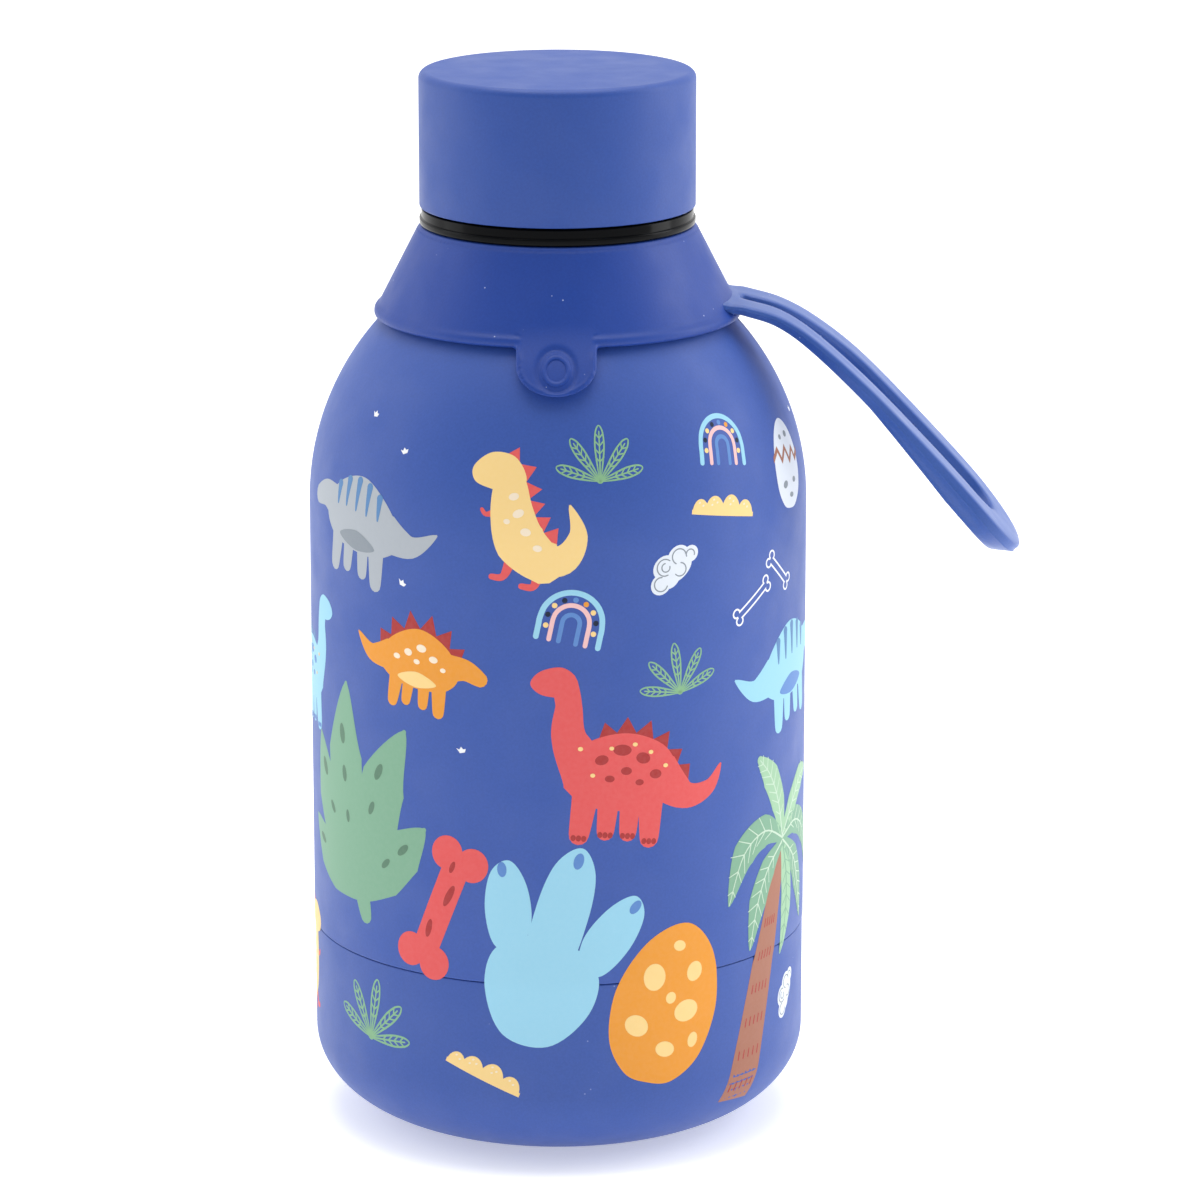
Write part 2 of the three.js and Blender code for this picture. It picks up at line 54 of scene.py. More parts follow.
# ---- dimensions shared with the CAD model ----
GAP = 0.3
BODY_R = 37.45  # the print on top brings it to the model's 37.5
TOTAL_H = 160.1
STEEL = 0.5
VESSEL_WALL = 0.5
VACUUM = 3.4
SHOULDER_Z = 95.2
SHOULDER_A = 41.6
SHOULDER_B = 40.8
SHOULDER_AXIS_R = BODY_R - SHOULDER_A
NECK_R = 16.4
NECK_FILLET = 1.6
NECK_TOP = 149.0
NECK_SPLIT_Z = 135.6  # paint below, bare steel above
MOUTH_R = 14.6
LIP_R = 16.4
LIP_TOP = 150.4
BEAD_Z = 134.2
BEAD_H = 0.6
BEAD_HALF = 0.9
LEAD = 8.0
STARTS = 2
NECK_CREST_R = 17.5
NECK_THREAD_Z = 139.4
NECK_THREAD_TURNS = 0.85
SEAM_Z = 29.6
SEAM_RISE = 0.22  # how far the soft boot's edge swells up towards the paint
BOOT_R = 37.35
BOOT_CORNER_R = 17.4
BOOT_CORNER_Z = 12.9
BOOT_WALL = 1.45
BOOT_FLOOR = 1.8
GROOVE_R = 14.0
GROOVE_WIDTH = 1.6
GROOVE_DEPTH = 0.6
PLATE_SPLIT = 50
VESSEL_FLOOR_Z = 6.4
VESSEL_CORNER_R = 13.0
VESSEL_CORNER_Z = 10.0
COLLAR_TOP_Z = 137.1  # soft, so it nearly touches the cap's ring
COLLAR_TOP_R = 20.6
RIM_R = 26.95
RIM_Z = 124.7
RIM_UNDER_Z = 123.35
RIM_LIP = 0.5  # how far the lip of the rim stands out from the cone
TAB_HALF = 5.85
TAB_BOTTOM_Z = 117.4
TAB_ARC_H = 3.8
TAB_THICK = 1.4
TAB_RING_Z = 120.9
TAB_RING_R = 2.6
STRAP_YAW = -2.0
STRAP_ROOT_X = 28.5
STRAP_PATH = [
    (28.5, 125.9), (33.3, 124.5), (38.4, 121.5), (45.4, 115.7), (53.8, 107.2), (62.6, 97.6), (69.8, 88.8),
]
STRAP_HALF_ROOT = 8.2
STRAP_HALF = 11.55
STRAP_GROW = (2.5, 21.0)
STRAND = 6.7
TIP_LENGTH = 11.5
STRAP_THICK = [(0, 1.5), (12, 1.9), (24, 2.25), (34, 3.05), (42, 3.65), (60, 3.8)]
PARTING = 0.36
STRAP_DRAFT = 0.9
STRAP_END_DRAFT = 2.2
RING_R = 20.6
RING_UPPER_R = 20.3
RING_BOTTOM_Z = 137.2
RING_LIP_Z = 138.2
RING_TOP_Z = 139.55
CAP_R = 20.6
CAP_WALL = 1.0
CAP_TOP_WALL = 1.2
CAP_EDGE = 1.2
LINER_R = 19.3
LINER_BORE_R = 17.8
CAP_CREST_R = 16.85
CAP_THREAD_Z = 139.6
CAP_THREAD_TURNS = 0.45
THREAD_LAG = 1.8
DECK_UNDER_Z = 152.1
DECK_THICK = 1.4
PLUG_R = 13.1
PLUG_BORE_R = 11.6
PLUG_END_Z = 144.6
COVER_R = 14.1
COVER_WALL = 0.6
COVER_TOP_Z = 149.4
GASKET_R = 17.3
GASKET_Z = 150.7
GASKET_H = 1.1

STEP_R = BOOT_R - BOOT_WALL - GAP
CORNER_A = BOOT_CORNER_R - BOOT_WALL - GAP + 0.15
CORNER_B = BOOT_CORNER_Z - BOOT_FLOOR - GAP + 1.1
CORNER_AXIS_R = STEP_R - CORNER_A
CORNER_AXIS_Z = BOOT_FLOOR + GAP + CORNER_B


# ---- colours ----
def srgb(red, green, blue):
    """Linear colour from the usual 0-255 values."""
    values = []
    for value in (red, green, blue):
        share = value / 255
        values.append(share / 12.92 if share <= 0.04045 else ((share + 0.055) / 1.055) ** 2.4)
    return (*values, 1.0)


INKS = {
    "red": srgb(232, 96, 96),
    "dark_red": srgb(176, 62, 62),
    "orange": srgb(240, 160, 63),
    "yellow": srgb(254, 219, 148),
    "cream": srgb(253, 236, 211),
    "light_blue": srgb(159, 216, 240),
    "slate_blue": srgb(95, 140, 190),
    "mid_blue": srgb(99, 143, 208),
    "navy": srgb(30, 42, 66),
    "green": srgb(133, 178, 150),
    "dark_green": srgb(98, 134, 112),
    "line_green": srgb(142, 190, 146),
    "leaf_green": srgb(165, 206, 170),
    "pale_green": srgb(203, 226, 205),
    "grey": srgb(178, 185, 193),
    "dark_grey": srgb(145, 154, 163),
    "cloud": srgb(233, 240, 250),
    "white": srgb(250, 252, 255),
    "pink": srgb(248, 200, 200),
    "brown": srgb(173, 118, 98),
}


# ---- materials ----
# Scales are noise cells per metre, and spans are the part of a noise's 0-1 range that is used.
CLOUD_SCALE = 90  # slow wandering of the colour
PATCH_SCALE = 160  # patches of rougher and smoother surface
DUST_SCALE = 420
DUST_PICK_SCALE = 260  # which of the dust specks show
STAIN_SCALE = 120
BRUSH_SCALE = 5200
MOTTLE_SCALE = 1500
PATCH_SPAN = (0.3, 0.7)
GRAIN_SPAN = (0.35, 0.7)
GRAIN_SHARE = 0.24  # how far the top of the grain goes to a lighter tone
GRAIN_LIGHT = 1.5
DUST_EDGE = (0.02, 0.06)  # a speck's size, as a share of its cell
DUST_PICK = (0.55, 0.6)
DUST = srgb(190, 205, 235)
SHEEN_TINT = srgb(205, 218, 255)
SHEEN_ROUGHNESS = 0.45
INK_MOTTLE = 0.02
INK_ROUGHNESS = (0.42, 0.55)
INK_SPECULAR = 0.14
INK_GRAIN = 0.000006  # depths are in metres
MOTTLE_SPAN = (0.35, 0.75)
BRUSH_DEPTH = 0.00001
BRUSH_STRETCH = (0.04, 0.04, 1.0)  # draws the noise out into rings
COAT_BUMP = 0.6


def fill(tree, node, values):
    """Sets a node's inputs: other nodes' outputs are linked, and plain values are written."""
    for name, value in values.items():
        if isinstance(value, bpy.types.NodeSocket):
            tree.links.new(value, node.inputs[name])
        else:
            node.inputs[name].default_value = value


def add_node(tree, kind, output, values, **settings):
    """One output of a new node with the given settings and inputs."""
    node = tree.nodes.new("ShaderNode" + kind)
    for name, setting in settings.items():
        setattr(node, name, setting)
    fill(tree, node, values)
    return node.outputs[output]


def new_material(name):
    """A node material, its tree, its Principled shader and the object's own coordinates."""
    made = bpy.data.materials.new(name)
    made.use_nodes = True
    tree = made.node_tree
    return made, tree, tree.nodes["Principled BSDF"], add_node(tree, "TexCoord", "Object", {})


def noise(tree, vector, scale, detail):
    """Fractal noise over the given coordinates."""
    return add_node(tree, "TexNoise", "Fac", {"Vector": vector, "Scale": scale, "Detail": detail})


def ranged(tree, value, from_range, to_range):
    """A value carried from one range to another, kept inside it."""
    ends = dict(zip(("From Min", "From Max", "To Min", "To Max"), (*from_range, *to_range)))
    return add_node(tree, "MapRange", "Result", {"Value": value, **ends})


def mixed(tree, factor, first, second):
    """Two colours mixed by a factor. Each colour is four numbers or another node's output."""
    return add_node(tree, "Mix", "Result", {"Factor": factor, "A": first, "B": second}, data_type="RGBA")


def times(colour, factor):
    """A colour made darker or lighter."""
    return (*[min(1.0, channel * factor) for channel in colour[:3]], 1.0)


def bumped(tree, heights, strength):
    """Bumps from several (height output, distance in metres) pairs, one over the other."""
    below = {}
    for height, distance in heights:
        values = {"Strength": strength, "Distance": distance, "Height": height, **below}
        below = {"Normal": add_node(tree, "Bump", "Normal", values)}
    return below["Normal"]


def coated(name, colour, spread, roughness, grain, sheen=0.0, specks=0.0, metallic=0.0, specular=0.5):
    """A moulded or coated surface: cloudy colour, uneven roughness, fine grain and, if asked, dust specks.

    spread is how far the colour wanders, roughness its (low, high), and grain the (size, depth) of
    the fine texture in metres.
    """
    made, tree, shader, place = new_material(name)
    cloudy = noise(tree, place, CLOUD_SCALE, 3)
    fine = noise(tree, place, 1 / grain[0], 3)
    patchy = noise(tree, place, PATCH_SCALE, 4)
    tone = mixed(tree, cloudy, times(colour, 1 - spread), times(colour, 1 + spread))
    grained = ranged(tree, fine, GRAIN_SPAN, (0.0, GRAIN_SHARE))
    tone = mixed(tree, grained, tone, times(colour, GRAIN_LIGHT))
    if specks:
        cells = add_node(tree, "TexVoronoi", "Distance", {"Vector": place, "Scale": DUST_SCALE})
        dust = ranged(tree, cells, DUST_EDGE, (specks, 0.0))
        rare = ranged(tree, noise(tree, place, DUST_PICK_SCALE, 0), DUST_PICK, (0.0, 1.0))
        shown = add_node(tree, "Math", "Value", {0: dust, 1: rare}, operation="MULTIPLY")
        tone = mixed(tree, shown, tone, DUST)
    fill(tree, shader, {
        "Base Color": tone,
        "Roughness": ranged(tree, patchy, PATCH_SPAN, roughness),
        "Metallic": metallic,
        "Specular IOR Level": specular,
        "Normal": bumped(tree, [(fine, grain[1]), (cloudy, grain[1] * 2)], COAT_BUMP),
    })
    if sheen:
        fill(tree, shader, {"Sheen Weight": sheen, "Sheen Roughness": SHEEN_ROUGHNESS,
                            "Sheen Tint": SHEEN_TINT})
    return made


def turned_steel(name, colour, roughness):
    """Steel with the fine circular marks that spinning and brushing leave."""
    made, tree, shader, place = new_material(name)
    stretched = add_node(tree, "Mapping", "Vector", {"Vector": place, "Scale": BRUSH_STRETCH})
    marks = noise(tree, stretched, BRUSH_SCALE, 3)
    stains = noise(tree, place, STAIN_SCALE, 4)
    fill(tree, shader, {
        "Base Color": mixed(tree, stains, times(colour, 0.93), times(colour, 1.05)),
        "Metallic": 1.0,
        "Roughness": ranged(tree, marks, PATCH_SPAN, roughness),
        "Normal": bumped(tree, [(marks, BRUSH_DEPTH)], 0.5),
    })
    return made


def printed_ink(name):
    """The print: each patch's own colour, with the slight mottling of a transfer print."""
    made, tree, shader, place = new_material(name)
    patch = add_node(tree, "Attribute", "Color", {}, attribute_name="ink")
    mottle = noise(tree, place, MOTTLE_SCALE, 3)
    shade = ranged(tree, mottle, MOTTLE_SPAN, (0.0, INK_MOTTLE))
    fill(tree, shader, {
        "Base Color": mixed(tree, shade, patch, srgb(255, 255, 255)),
        "Roughness": ranged(tree, mottle, PATCH_SPAN, INK_ROUGHNESS),
        "Specular IOR Level": INK_SPECULAR,
        "Normal": bumped(tree, [(mottle, INK_GRAIN)], 0.4),
    })
    return made


BLUE = srgb(40, 75, 155)
SILICONE_BLUE = srgb(18, 58, 142)
# The strap is the same silicone as the collar, but its blue is lighter than the collar's: painted light
# for the strap's lit top faces.
STRAP_BLUE_WITH_PAINTED_LIGHT = srgb(42, 80, 156)
BOOT_BLUE = srgb(44, 77, 155)
CAP_BLUE = srgb(26, 66, 146)
looks = {
    "paint": coated("soft_touch_paint", BLUE, 0.03, (0.46, 0.6), (0.00035, 0.000016), sheen=0.14),
    "cap_paint": coated("cap_paint", CAP_BLUE, 0.03, (0.46, 0.6), (0.00035, 0.000016), sheen=0.1),
    "silicone": coated("moulded_silicone", SILICONE_BLUE, 0.05, (0.4, 0.55), (0.00035, 0.00002),
                       sheen=0.04, specks=0.9, specular=0.4),
    # Painted light: the strap's silicone gets a lighter blue than the collar's, standing in for the light
    # on its top faces.
    "strap": coated("strap_silicone_painted_light", STRAP_BLUE_WITH_PAINTED_LIGHT, 0.05, (0.34, 0.5), (0.00035, 0.00002),
                    sheen=0.3, specks=0.9),
    "boot": coated("boot_silicone", BOOT_BLUE, 0.03, (0.48, 0.6), (0.00035, 0.000014),
                   sheen=0.16, specks=0.4),
    "plastic": coated("black_plastic", srgb(2, 3, 5), 0.1, (0.12, 0.2), (0.0003, 0.000003),
                      specular=0.09),
    "cover": coated("plug_plastic", srgb(23, 25, 29), 0.1, (0.35, 0.5), (0.0002, 0.00001)),
    "gasket": coated("clear_silicone", srgb(214, 219, 222), 0.03, (0.3, 0.45), (0.0002, 0.000006)),
    "foam": coated("insulating_foam", srgb(232, 228, 216), 0.06, (0.85, 0.95), (0.0006, 0.0002)),
    "getter": coated("getter_metal", srgb(104, 105, 108), 0.12, (0.5, 0.75), (0.0001, 0.00003),
                     metallic=0.6),
    "glass_bead": coated("seal_glass", srgb(70, 72, 76), 0.08, (0.1, 0.2), (0.0004, 0.000004)),
    "steel": turned_steel("spun_steel", srgb(196, 198, 202), (0.2, 0.36)),
    "base_steel": turned_steel("pressed_steel", srgb(182, 184, 188), (0.3, 0.45)),
    "ink": printed_ink("printed_ink"),
}


# ---- meshes ----
def add_piece(name, points, faces, look, body, slot, stands_for=(), sharp=35.0):
    """A piece from points in millimetres, shaded smooth but for edges sharper than the angle."""
    mesh = bpy.data.meshes.new(name)
    mesh.from_pydata([tuple(c * MM for c in point) for point in points], [], faces)
    mesh.validate()
    mesh.materials.append(looks[look])
    mesh.shade_smooth()
    mesh.set_sharp_from_angle(angle=math.radians(sharp))
    piece = bpy.data.objects.new(name, mesh)
    bpy.context.scene.collection.objects.link(piece)
    if body:
        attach(piece, body)
    if stands_for:
        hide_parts(*stands_for)
    return piece


def cos_sin(degrees):
    """The cosine and sine of an angle in degrees."""
    angle = math.radians(degrees)
    return math.cos(angle), math.sin(angle)


def ellipse(centre_r, centre_z, a, b, start, end, steps):
    """Points round an ellipse between two angles in degrees, both ends included."""
    points = []
    for i in range(steps + 1):
        c, s = cos_sin(start + (end - start) * i / steps)
        points.append((centre_r + a * c, centre_z + b * s))
    return points


def eased(corners, steps=4):
    """An outline of (radius, height, setback) corners, each rounded off over its setback."""
    points = []
    for i, (r, z, setback) in enumerate(corners):
        if setback == 0:
            points.append((r, z))
            continue
        here = Vector((r, z))
        ends = []
        for other in (corners[i - 1], corners[(i + 1) % len(corners)]):
            away = Vector(other[:2]) - here
            ends.append(here + away.normalized() * min(setback, away.length * 0.49))
        for k in range(steps + 1):
            t = k / steps
            point = ends[0] * (1 - t) ** 2 + here * (2 * t * (1 - t)) + ends[1] * t ** 2
            points.append((point.x, point.y))
    return points


def plain(points):
    """Profile points as corners that are left alone."""
    return [(r, z, 0) for r, z in points]


def turned(profile, steps=TURN_STEPS):
    """Points and faces of a profile turned about Z.

    The profile closes on itself unless both of its ends are on the axis.
    """
    on_axis = profile[0][0] == 0 and profile[-1][0] == 0
    points, rows = [], []
    for r, z in profile:
        row = []
        for k in range(1 if r == 0 else steps):
            angle = 2 * math.pi * k / steps
            row.append(len(points))
            points.append((r * math.cos(angle), r * math.sin(angle), z))
        rows.append(row)
    faces = []
    pairs = list(zip(rows, rows[1:])) + ([] if on_axis else [(rows[-1], rows[0])])
    for low, high in pairs:
        for k in range(steps):
            n = (k + 1) % steps
            if len(low) == 1 and len(high) == 1:
                break
            if len(low) == 1:
                faces.append((low[0], high[n], high[k]))
            elif len(high) == 1:
                faces.append((low[k], low[n], high[0]))
            else:
                faces.append((low[k], low[n], high[n], high[k]))
    return points, outward(points, faces)


def outward(points, faces):
    """The faces of a closed skin, turned inside out if they enclose a negative volume."""
    volume = 0.0
    for face in faces:
        first = Vector(points[face[0]])
        for b, c in zip(face[1:], face[2:]):
            volume += first.dot(Vector(points[b]).cross(Vector(points[c])))
    return faces if volume > 0 else [tuple(reversed(face)) for face in faces]


def joined(*parts):
    """Several (points, faces) skins as one."""
    points, faces = [], []
    for more_points, more_faces in parts:
        base = len(points)
        points += more_points
        faces += [tuple(base + i for i in face) for face in more_faces]
    return points, faces


def shoulder(offset, neck_radius, steps):
    """The shoulder ellipse offset from the outer skin, from the straight wall to a neck radius."""
    a = SHOULDER_A + offset
    end = math.degrees(math.acos((neck_radius - SHOULDER_AXIS_R) / a))
    return ellipse(SHOULDER_AXIS_R, SHOULDER_Z, a, SHOULDER_B + offset, 0, end, steps)


def shoulder_to_bead(offset, steps):
    """The outer line up the shoulder, round the neck's fillet and over the bead that holds the collar."""
    neck = NECK_R + offset
    end = math.acos((NECK_R - SHOULDER_AXIS_R) / SHOULDER_A)
    foot_z = SHOULDER_Z + SHOULDER_B * math.sin(end)
    return [
        *plain(shoulder(offset, neck + 0.7 * NECK_FILLET, steps)),
        (neck + 0.25, foot_z + 0.3 + offset / 2, 0.4),
        (neck, foot_z + NECK_FILLET, 0.4),
        (neck, BEAD_Z - BEAD_HALF - offset, 0.2),
        (neck + BEAD_H, BEAD_Z - 0.3 - offset / 2, 0.25),
        (neck + BEAD_H, BEAD_Z + 0.3 + offset / 2, 0.25),
        (neck, BEAD_Z + BEAD_HALF + offset, 0.1),
    ]


THREAD_SECTION = [  # (share of the ridge's depth, height)
    (-0.3, -1.05), (0.0, -0.95), (0.75, -0.55), (1.0, -0.25),
    (1.0, 0.25), (0.75, 0.55), (0.0, 0.95), (-0.3, 1.05),
]
THREAD_STEPS = 180  # facets to a turn
THREAD_FADE = 12  # facets over which a ridge tapers out
THREAD_END = 0.12  # what is left of the ridge at its very end


def thread(root_r, crest_r, start_z, turns):
    """The ridges of a two-start thread: rounded crests that taper out at both ends."""
    depth = crest_r - root_r
    steps = round(THREAD_STEPS * turns)
    parts = []
    for start in range(STARTS):
        points, faces = [], []
        for i in range(steps + 1):
            along = turns * i / steps
            fade = min(1.0, THREAD_END + min(i, steps - i) / THREAD_FADE)
            angle = 2 * math.pi * (along + start / STARTS)
            for out, up in THREAD_SECTION:
                radius = root_r + depth * (out if out < 0 else out * fade)
                height = start_z + along * LEAD + up * fade
                points.append((radius * math.cos(angle), radius * math.sin(angle), height))
        n = len(THREAD_SECTION)
        for i in range(steps):
            for k in range(n):
                m = (k + 1) % n
                faces.append((i * n + k, i * n + m, (i + 1) * n + m, (i + 1) * n + k))
        faces.append(tuple(reversed(range(n))))
        faces.append(tuple(range(steps * n, steps * n + n)))
        parts.append((points, outward(points, faces)))
    return parts


# ---- bottle ----
lip_z = SEAM_Z + GAP
shell_profile = eased([
    *plain(ellipse(CORNER_AXIS_R, CORNER_AXIS_Z, CORNER_A, CORNER_B, -PLATE_SPLIT, 0, 10)),
    (STEP_R, lip_z, 0.2),
    (BODY_R, lip_z, 0.3),
    *shoulder_to_bead(0, 60),
    (NECK_R, NECK_SPLIT_Z, 0),
    (NECK_R - STEEL, NECK_SPLIT_Z, 0),
    *plain(shoulder(-STEEL, NECK_R - STEEL, 30)[::-1]),
    (BODY_R - STEEL, lip_z + STEEL + 0.2, 0),
    (STEP_R - STEEL, lip_z + STEEL + 0.2, 0),
    *plain(ellipse(CORNER_AXIS_R, CORNER_AXIS_Z, CORNER_A - STEEL, CORNER_B - STEEL, 0, -PLATE_SPLIT, 10)),
])
add_piece("shell_painted", *turned(shell_profile), "paint", "bottle", "painted_steel", ["outer_shell"])

neck_profile = eased([
    (NECK_R - STEEL, NECK_SPLIT_Z, 0),
    (NECK_R, NECK_SPLIT_Z, 0),
    (NECK_R, NECK_TOP, 0.12),
    (NECK_R - STEEL, NECK_TOP, 0.12),
])
neck_parts = joined(turned(neck_profile), *thread(NECK_R, NECK_CREST_R, NECK_THREAD_Z, NECK_THREAD_TURNS))
add_piece("neck_threaded", *neck_parts, "steel", "bottle", "steel", ["outer_shell"])

vessel_r = BODY_R - STEEL - VACUUM
vessel_corner_r = vessel_r - VESSEL_CORNER_R
vessel_corner_z = VESSEL_FLOOR_Z + VESSEL_CORNER_Z
vessel_offset = vessel_r - BODY_R
neck_outer = MOUTH_R + VESSEL_WALL
vessel_profile = eased([
    (0, VESSEL_FLOOR_Z, 0),
    *plain(ellipse(vessel_corner_r, vessel_corner_z, VESSEL_CORNER_R, VESSEL_CORNER_Z, -90, 0, 16)),
    *plain(shoulder(vessel_offset, neck_outer, 40)),
    (neck_outer, NECK_TOP + GAP, 0.1),
    (LIP_R, NECK_TOP + GAP, 0.3),
    (LIP_R, LIP_TOP, 0.45),
    (MOUTH_R, LIP_TOP, 0.75),
    *plain(shoulder(vessel_offset - VESSEL_WALL, MOUTH_R, 40)[::-1]),
    *plain(ellipse(vessel_corner_r, vessel_corner_z, VESSEL_CORNER_R - VESSEL_WALL,
                   VESSEL_CORNER_Z - VESSEL_WALL, 0, -90, 16)),
    (0, VESSEL_FLOOR_Z + VESSEL_WALL, 0),
])
add_piece("vessel_inner", *turned(vessel_profile), "steel", "bottle", "steel", ["inner_vessel"])

boot_profile = eased([
    (0, 0, 0),
    (GROOVE_R - GROOVE_WIDTH / 2, 0, 0.2),
    (GROOVE_R - GROOVE_WIDTH / 4, GROOVE_DEPTH, 0.2),
    (GROOVE_R + GROOVE_WIDTH / 4, GROOVE_DEPTH, 0.2),
    (GROOVE_R + GROOVE_WIDTH / 2, 0, 0.2),
    *plain(ellipse(BOOT_R - BOOT_CORNER_R, BOOT_CORNER_Z, BOOT_CORNER_R, BOOT_CORNER_Z, -90, 0, 40)),
    (BOOT_R, SEAM_Z + SEAM_RISE, 0.2),
    (STEP_R + GAP, SEAM_Z + SEAM_RISE, 0),
    *plain(ellipse(CORNER_AXIS_R, CORNER_AXIS_Z, CORNER_A + GAP, CORNER_B + GAP, 0, -90, 16)),
    (0, BOOT_FLOOR, 0),
])
add_piece("boot", *turned(boot_profile), "boot", "bottle", "blue_silicone", ["base_boot"])

# ---- cap ----
cap_bottom_z = RING_TOP_Z + GAP
cap_profile = eased([
    (CAP_R - CAP_WALL, cap_bottom_z, 0.1),
    (CAP_R, cap_bottom_z, 0.3),
    *plain(ellipse(CAP_R - CAP_EDGE, TOTAL_H - CAP_EDGE, CAP_EDGE, CAP_EDGE, 0, 90, 10)),
    (0, TOTAL_H, 0),
    (0, TOTAL_H - CAP_TOP_WALL, 0),
    (CAP_R - CAP_WALL, TOTAL_H - CAP_TOP_WALL, 0),
])
cap_start = next(i for i, point in enumerate(cap_profile) if point == (0, TOTAL_H - CAP_TOP_WALL))
cap_profile = cap_profile[cap_start:] + cap_profile[:cap_start]
add_piece("cap_body", *turned(cap_profile), "cap_paint", "cap", "painted_steel", ["cap_shell"])

liner_top_z = TOTAL_H - CAP_TOP_WALL - GAP
deck_top_z = DECK_UNDER_Z + DECK_THICK
liner_profile = eased([
    (LINER_BORE_R, RING_BOTTOM_Z, 0.3),
    (RING_R, RING_BOTTOM_Z, 0.35),
    (RING_R, RING_LIP_Z, 0.2),
    (RING_UPPER_R, RING_LIP_Z + 0.05, 0.1),
    (RING_UPPER_R, RING_TOP_Z, 0.15),
    (LINER_R, RING_TOP_Z, 0),
    (LINER_R, liner_top_z, 0.1),
    (LINER_BORE_R, liner_top_z, 0.1),
    (LINER_BORE_R, deck_top_z, 0),
    (PLUG_BORE_R, deck_top_z, 0.1),
    (PLUG_BORE_R, PLUG_END_Z, 0.1),
    (PLUG_R, PLUG_END_Z, 0.1),
    (PLUG_R, DECK_UNDER_Z, 0.2),
    (LINER_BORE_R, DECK_UNDER_Z, 0.2),
])
liner_thread_z = CAP_THREAD_Z - THREAD_LAG + LEAD / STARTS
liner_parts = joined(turned(liner_profile),
                     *thread(LINER_BORE_R, CAP_CREST_R, liner_thread_z, CAP_THREAD_TURNS))
add_piece("cap_ring_and_liner", *liner_parts, "plastic", "cap", "black_plastic", ["cap_liner"])

cover_floor_z = PLUG_END_Z - GAP
cover_profile = eased([
    (0, cover_floor_z - COVER_WALL, 0),
    (10.2, cover_floor_z - COVER_WALL, 0.3),
    (10.6, cover_floor_z - COVER_WALL + 0.25, 0.2),
    (11.0, cover_floor_z - COVER_WALL, 0.3),
    (COVER_R, cover_floor_z - COVER_WALL, 1.1),
    (COVER_R, COVER_TOP_Z, 0.15),
    (COVER_R - COVER_WALL, COVER_TOP_Z, 0.15),
    (COVER_R - COVER_WALL, cover_floor_z, 0.3),
    (0, cover_floor_z, 0),
])
add_piece("plug_cover", *turned(cover_profile), "cover", "cap", "black_plastic", ["cap_plug_cover"])

gasket_inner_r = PLUG_R + GAP
gasket_profile = eased([
    (gasket_inner_r, GASKET_Z, 0.3),
    (GASKET_R, GASKET_Z, 0.4),
    (GASKET_R, GASKET_Z + GASKET_H, 0.2),
    (gasket_inner_r, GASKET_Z + GASKET_H, 0.2),
])
add_piece("lid_gasket", *turned(gasket_profile), "gasket", "cap_seal", "clear_silicone", ["cap_gasket"])

for node_name, look in (("cap_foam_disc", "foam"), ("getter_pellet", "getter"),
                        ("vacuum_seal_bead", "glass_bead"), ("outer_base_plate", "base_steel")):
    node_mesh = nodes[node_name].data
    node_mesh.materials.clear()
    node_mesh.materials.append(looks[look])


# ---- flat outlines, in millimetres, that are later wrapped onto the bottle ----
def spline(points, closed, per=8):
    """A Catmull-Rom curve through the points."""
    count = len(points)
    line = []
    for i in range(count if closed else count - 1):
        near = []
        for k in (i - 1, i, i + 1, i + 2):
            near.append(Vector(points[k % count] if closed else points[min(max(k, 0), count - 1)]))
        a, b, c, d = near
        for k in range(per):
            t = k / per
            line.append((2 * b + (c - a) * t + (2 * a - 5 * b + 4 * c - d) * t ** 2
                         + (3 * b - a - 3 * c + d) * t ** 3) / 2)
    if not closed:
        line.append(Vector(points[-1]))
    return [tuple(point) for point in line]


def blob(*points):
    """A smooth closed outline through the points."""
    return spline(points, True)


def polygon(*points, pitch=0.8):
    """A straight-sided outline, with points along its sides so that it can bend round the bottle."""
    outline = []
    for start, end in zip(points, points[1:] + points[:1]):
        length = math.dist(start, end)
        for k in range(max(1, math.ceil(length / pitch))):
            t = k / max(1, math.ceil(length / pitch))
            outline.append((start[0] + (end[0] - start[0]) * t, start[1] + (end[1] - start[1]) * t))
    return outline


def oval(x, y, a, b, turn=0.0):
    """An ellipse, turned by an angle in degrees."""
    steps = max(12, min(64, int(8 * max(a, b)) + 8))
    c, s = cos_sin(turn)
    outline = []
    for k in range(steps):
        angle = 2 * math.pi * k / steps
        p, q = a * math.cos(angle), b * math.sin(angle)
        outline.append((x + p * c - q * s, y + p * s + q * c))
    return outline


def ovals(*rows):
    """An ellipse for each row of oval()'s values."""
    return [oval(*row) for row in rows]


def width_at(share, widths):
    """The width at a share of a band's length."""
    share *= len(widths) - 1
    low = min(int(share), len(widths) - 2)
    return widths[low] + (widths[low + 1] - widths[low]) * (share - low)


def stroke(points, widths, per=8):
    """A band along a smooth line, whose width runs through the given widths, with round ends."""
    line = spline(points, False, per)
    left, right = [], []
    for i, here in enumerate(line):
        before, after = line[max(0, i - 1)], line[min(len(line) - 1, i + 1)]
        along = Vector(after) - Vector(before)
        side = Vector((-along.y, along.x)).normalized()
        half = width_at(i / (len(line) - 1), widths) / 2
        left.append(Vector(here) + side * half)
        right.append(Vector(here) - side * half)
    outline = list(left)
    for edge, end, far in ((left, -1, right), (right, 0, left)):
        middle = (edge[end] + far[end]) / 2
        spoke = edge[end] - middle
        if spoke.length > 0.08:
            for k in range(1, 6):
                angle = -math.pi * k / 6
                outline.append(middle + Vector((spoke.x * math.cos(angle) - spoke.y * math.sin(angle),
                                                spoke.x * math.sin(angle) + spoke.y * math.cos(angle))))
        if end == -1:
            outline += list(reversed(right))
    return [tuple(point) for point in outline]


def arc(x, y, radius, start, end, width):
    """A band along part of a circle, in degrees."""
    count = max(4, int(abs(end - start) / 22))
    points = []
    for k in range(count + 1):
        c, s = cos_sin(start + (end - start) * k / count)
        points.append((x + radius * c, y + radius * s))
    return stroke(points, [width, width], 4)


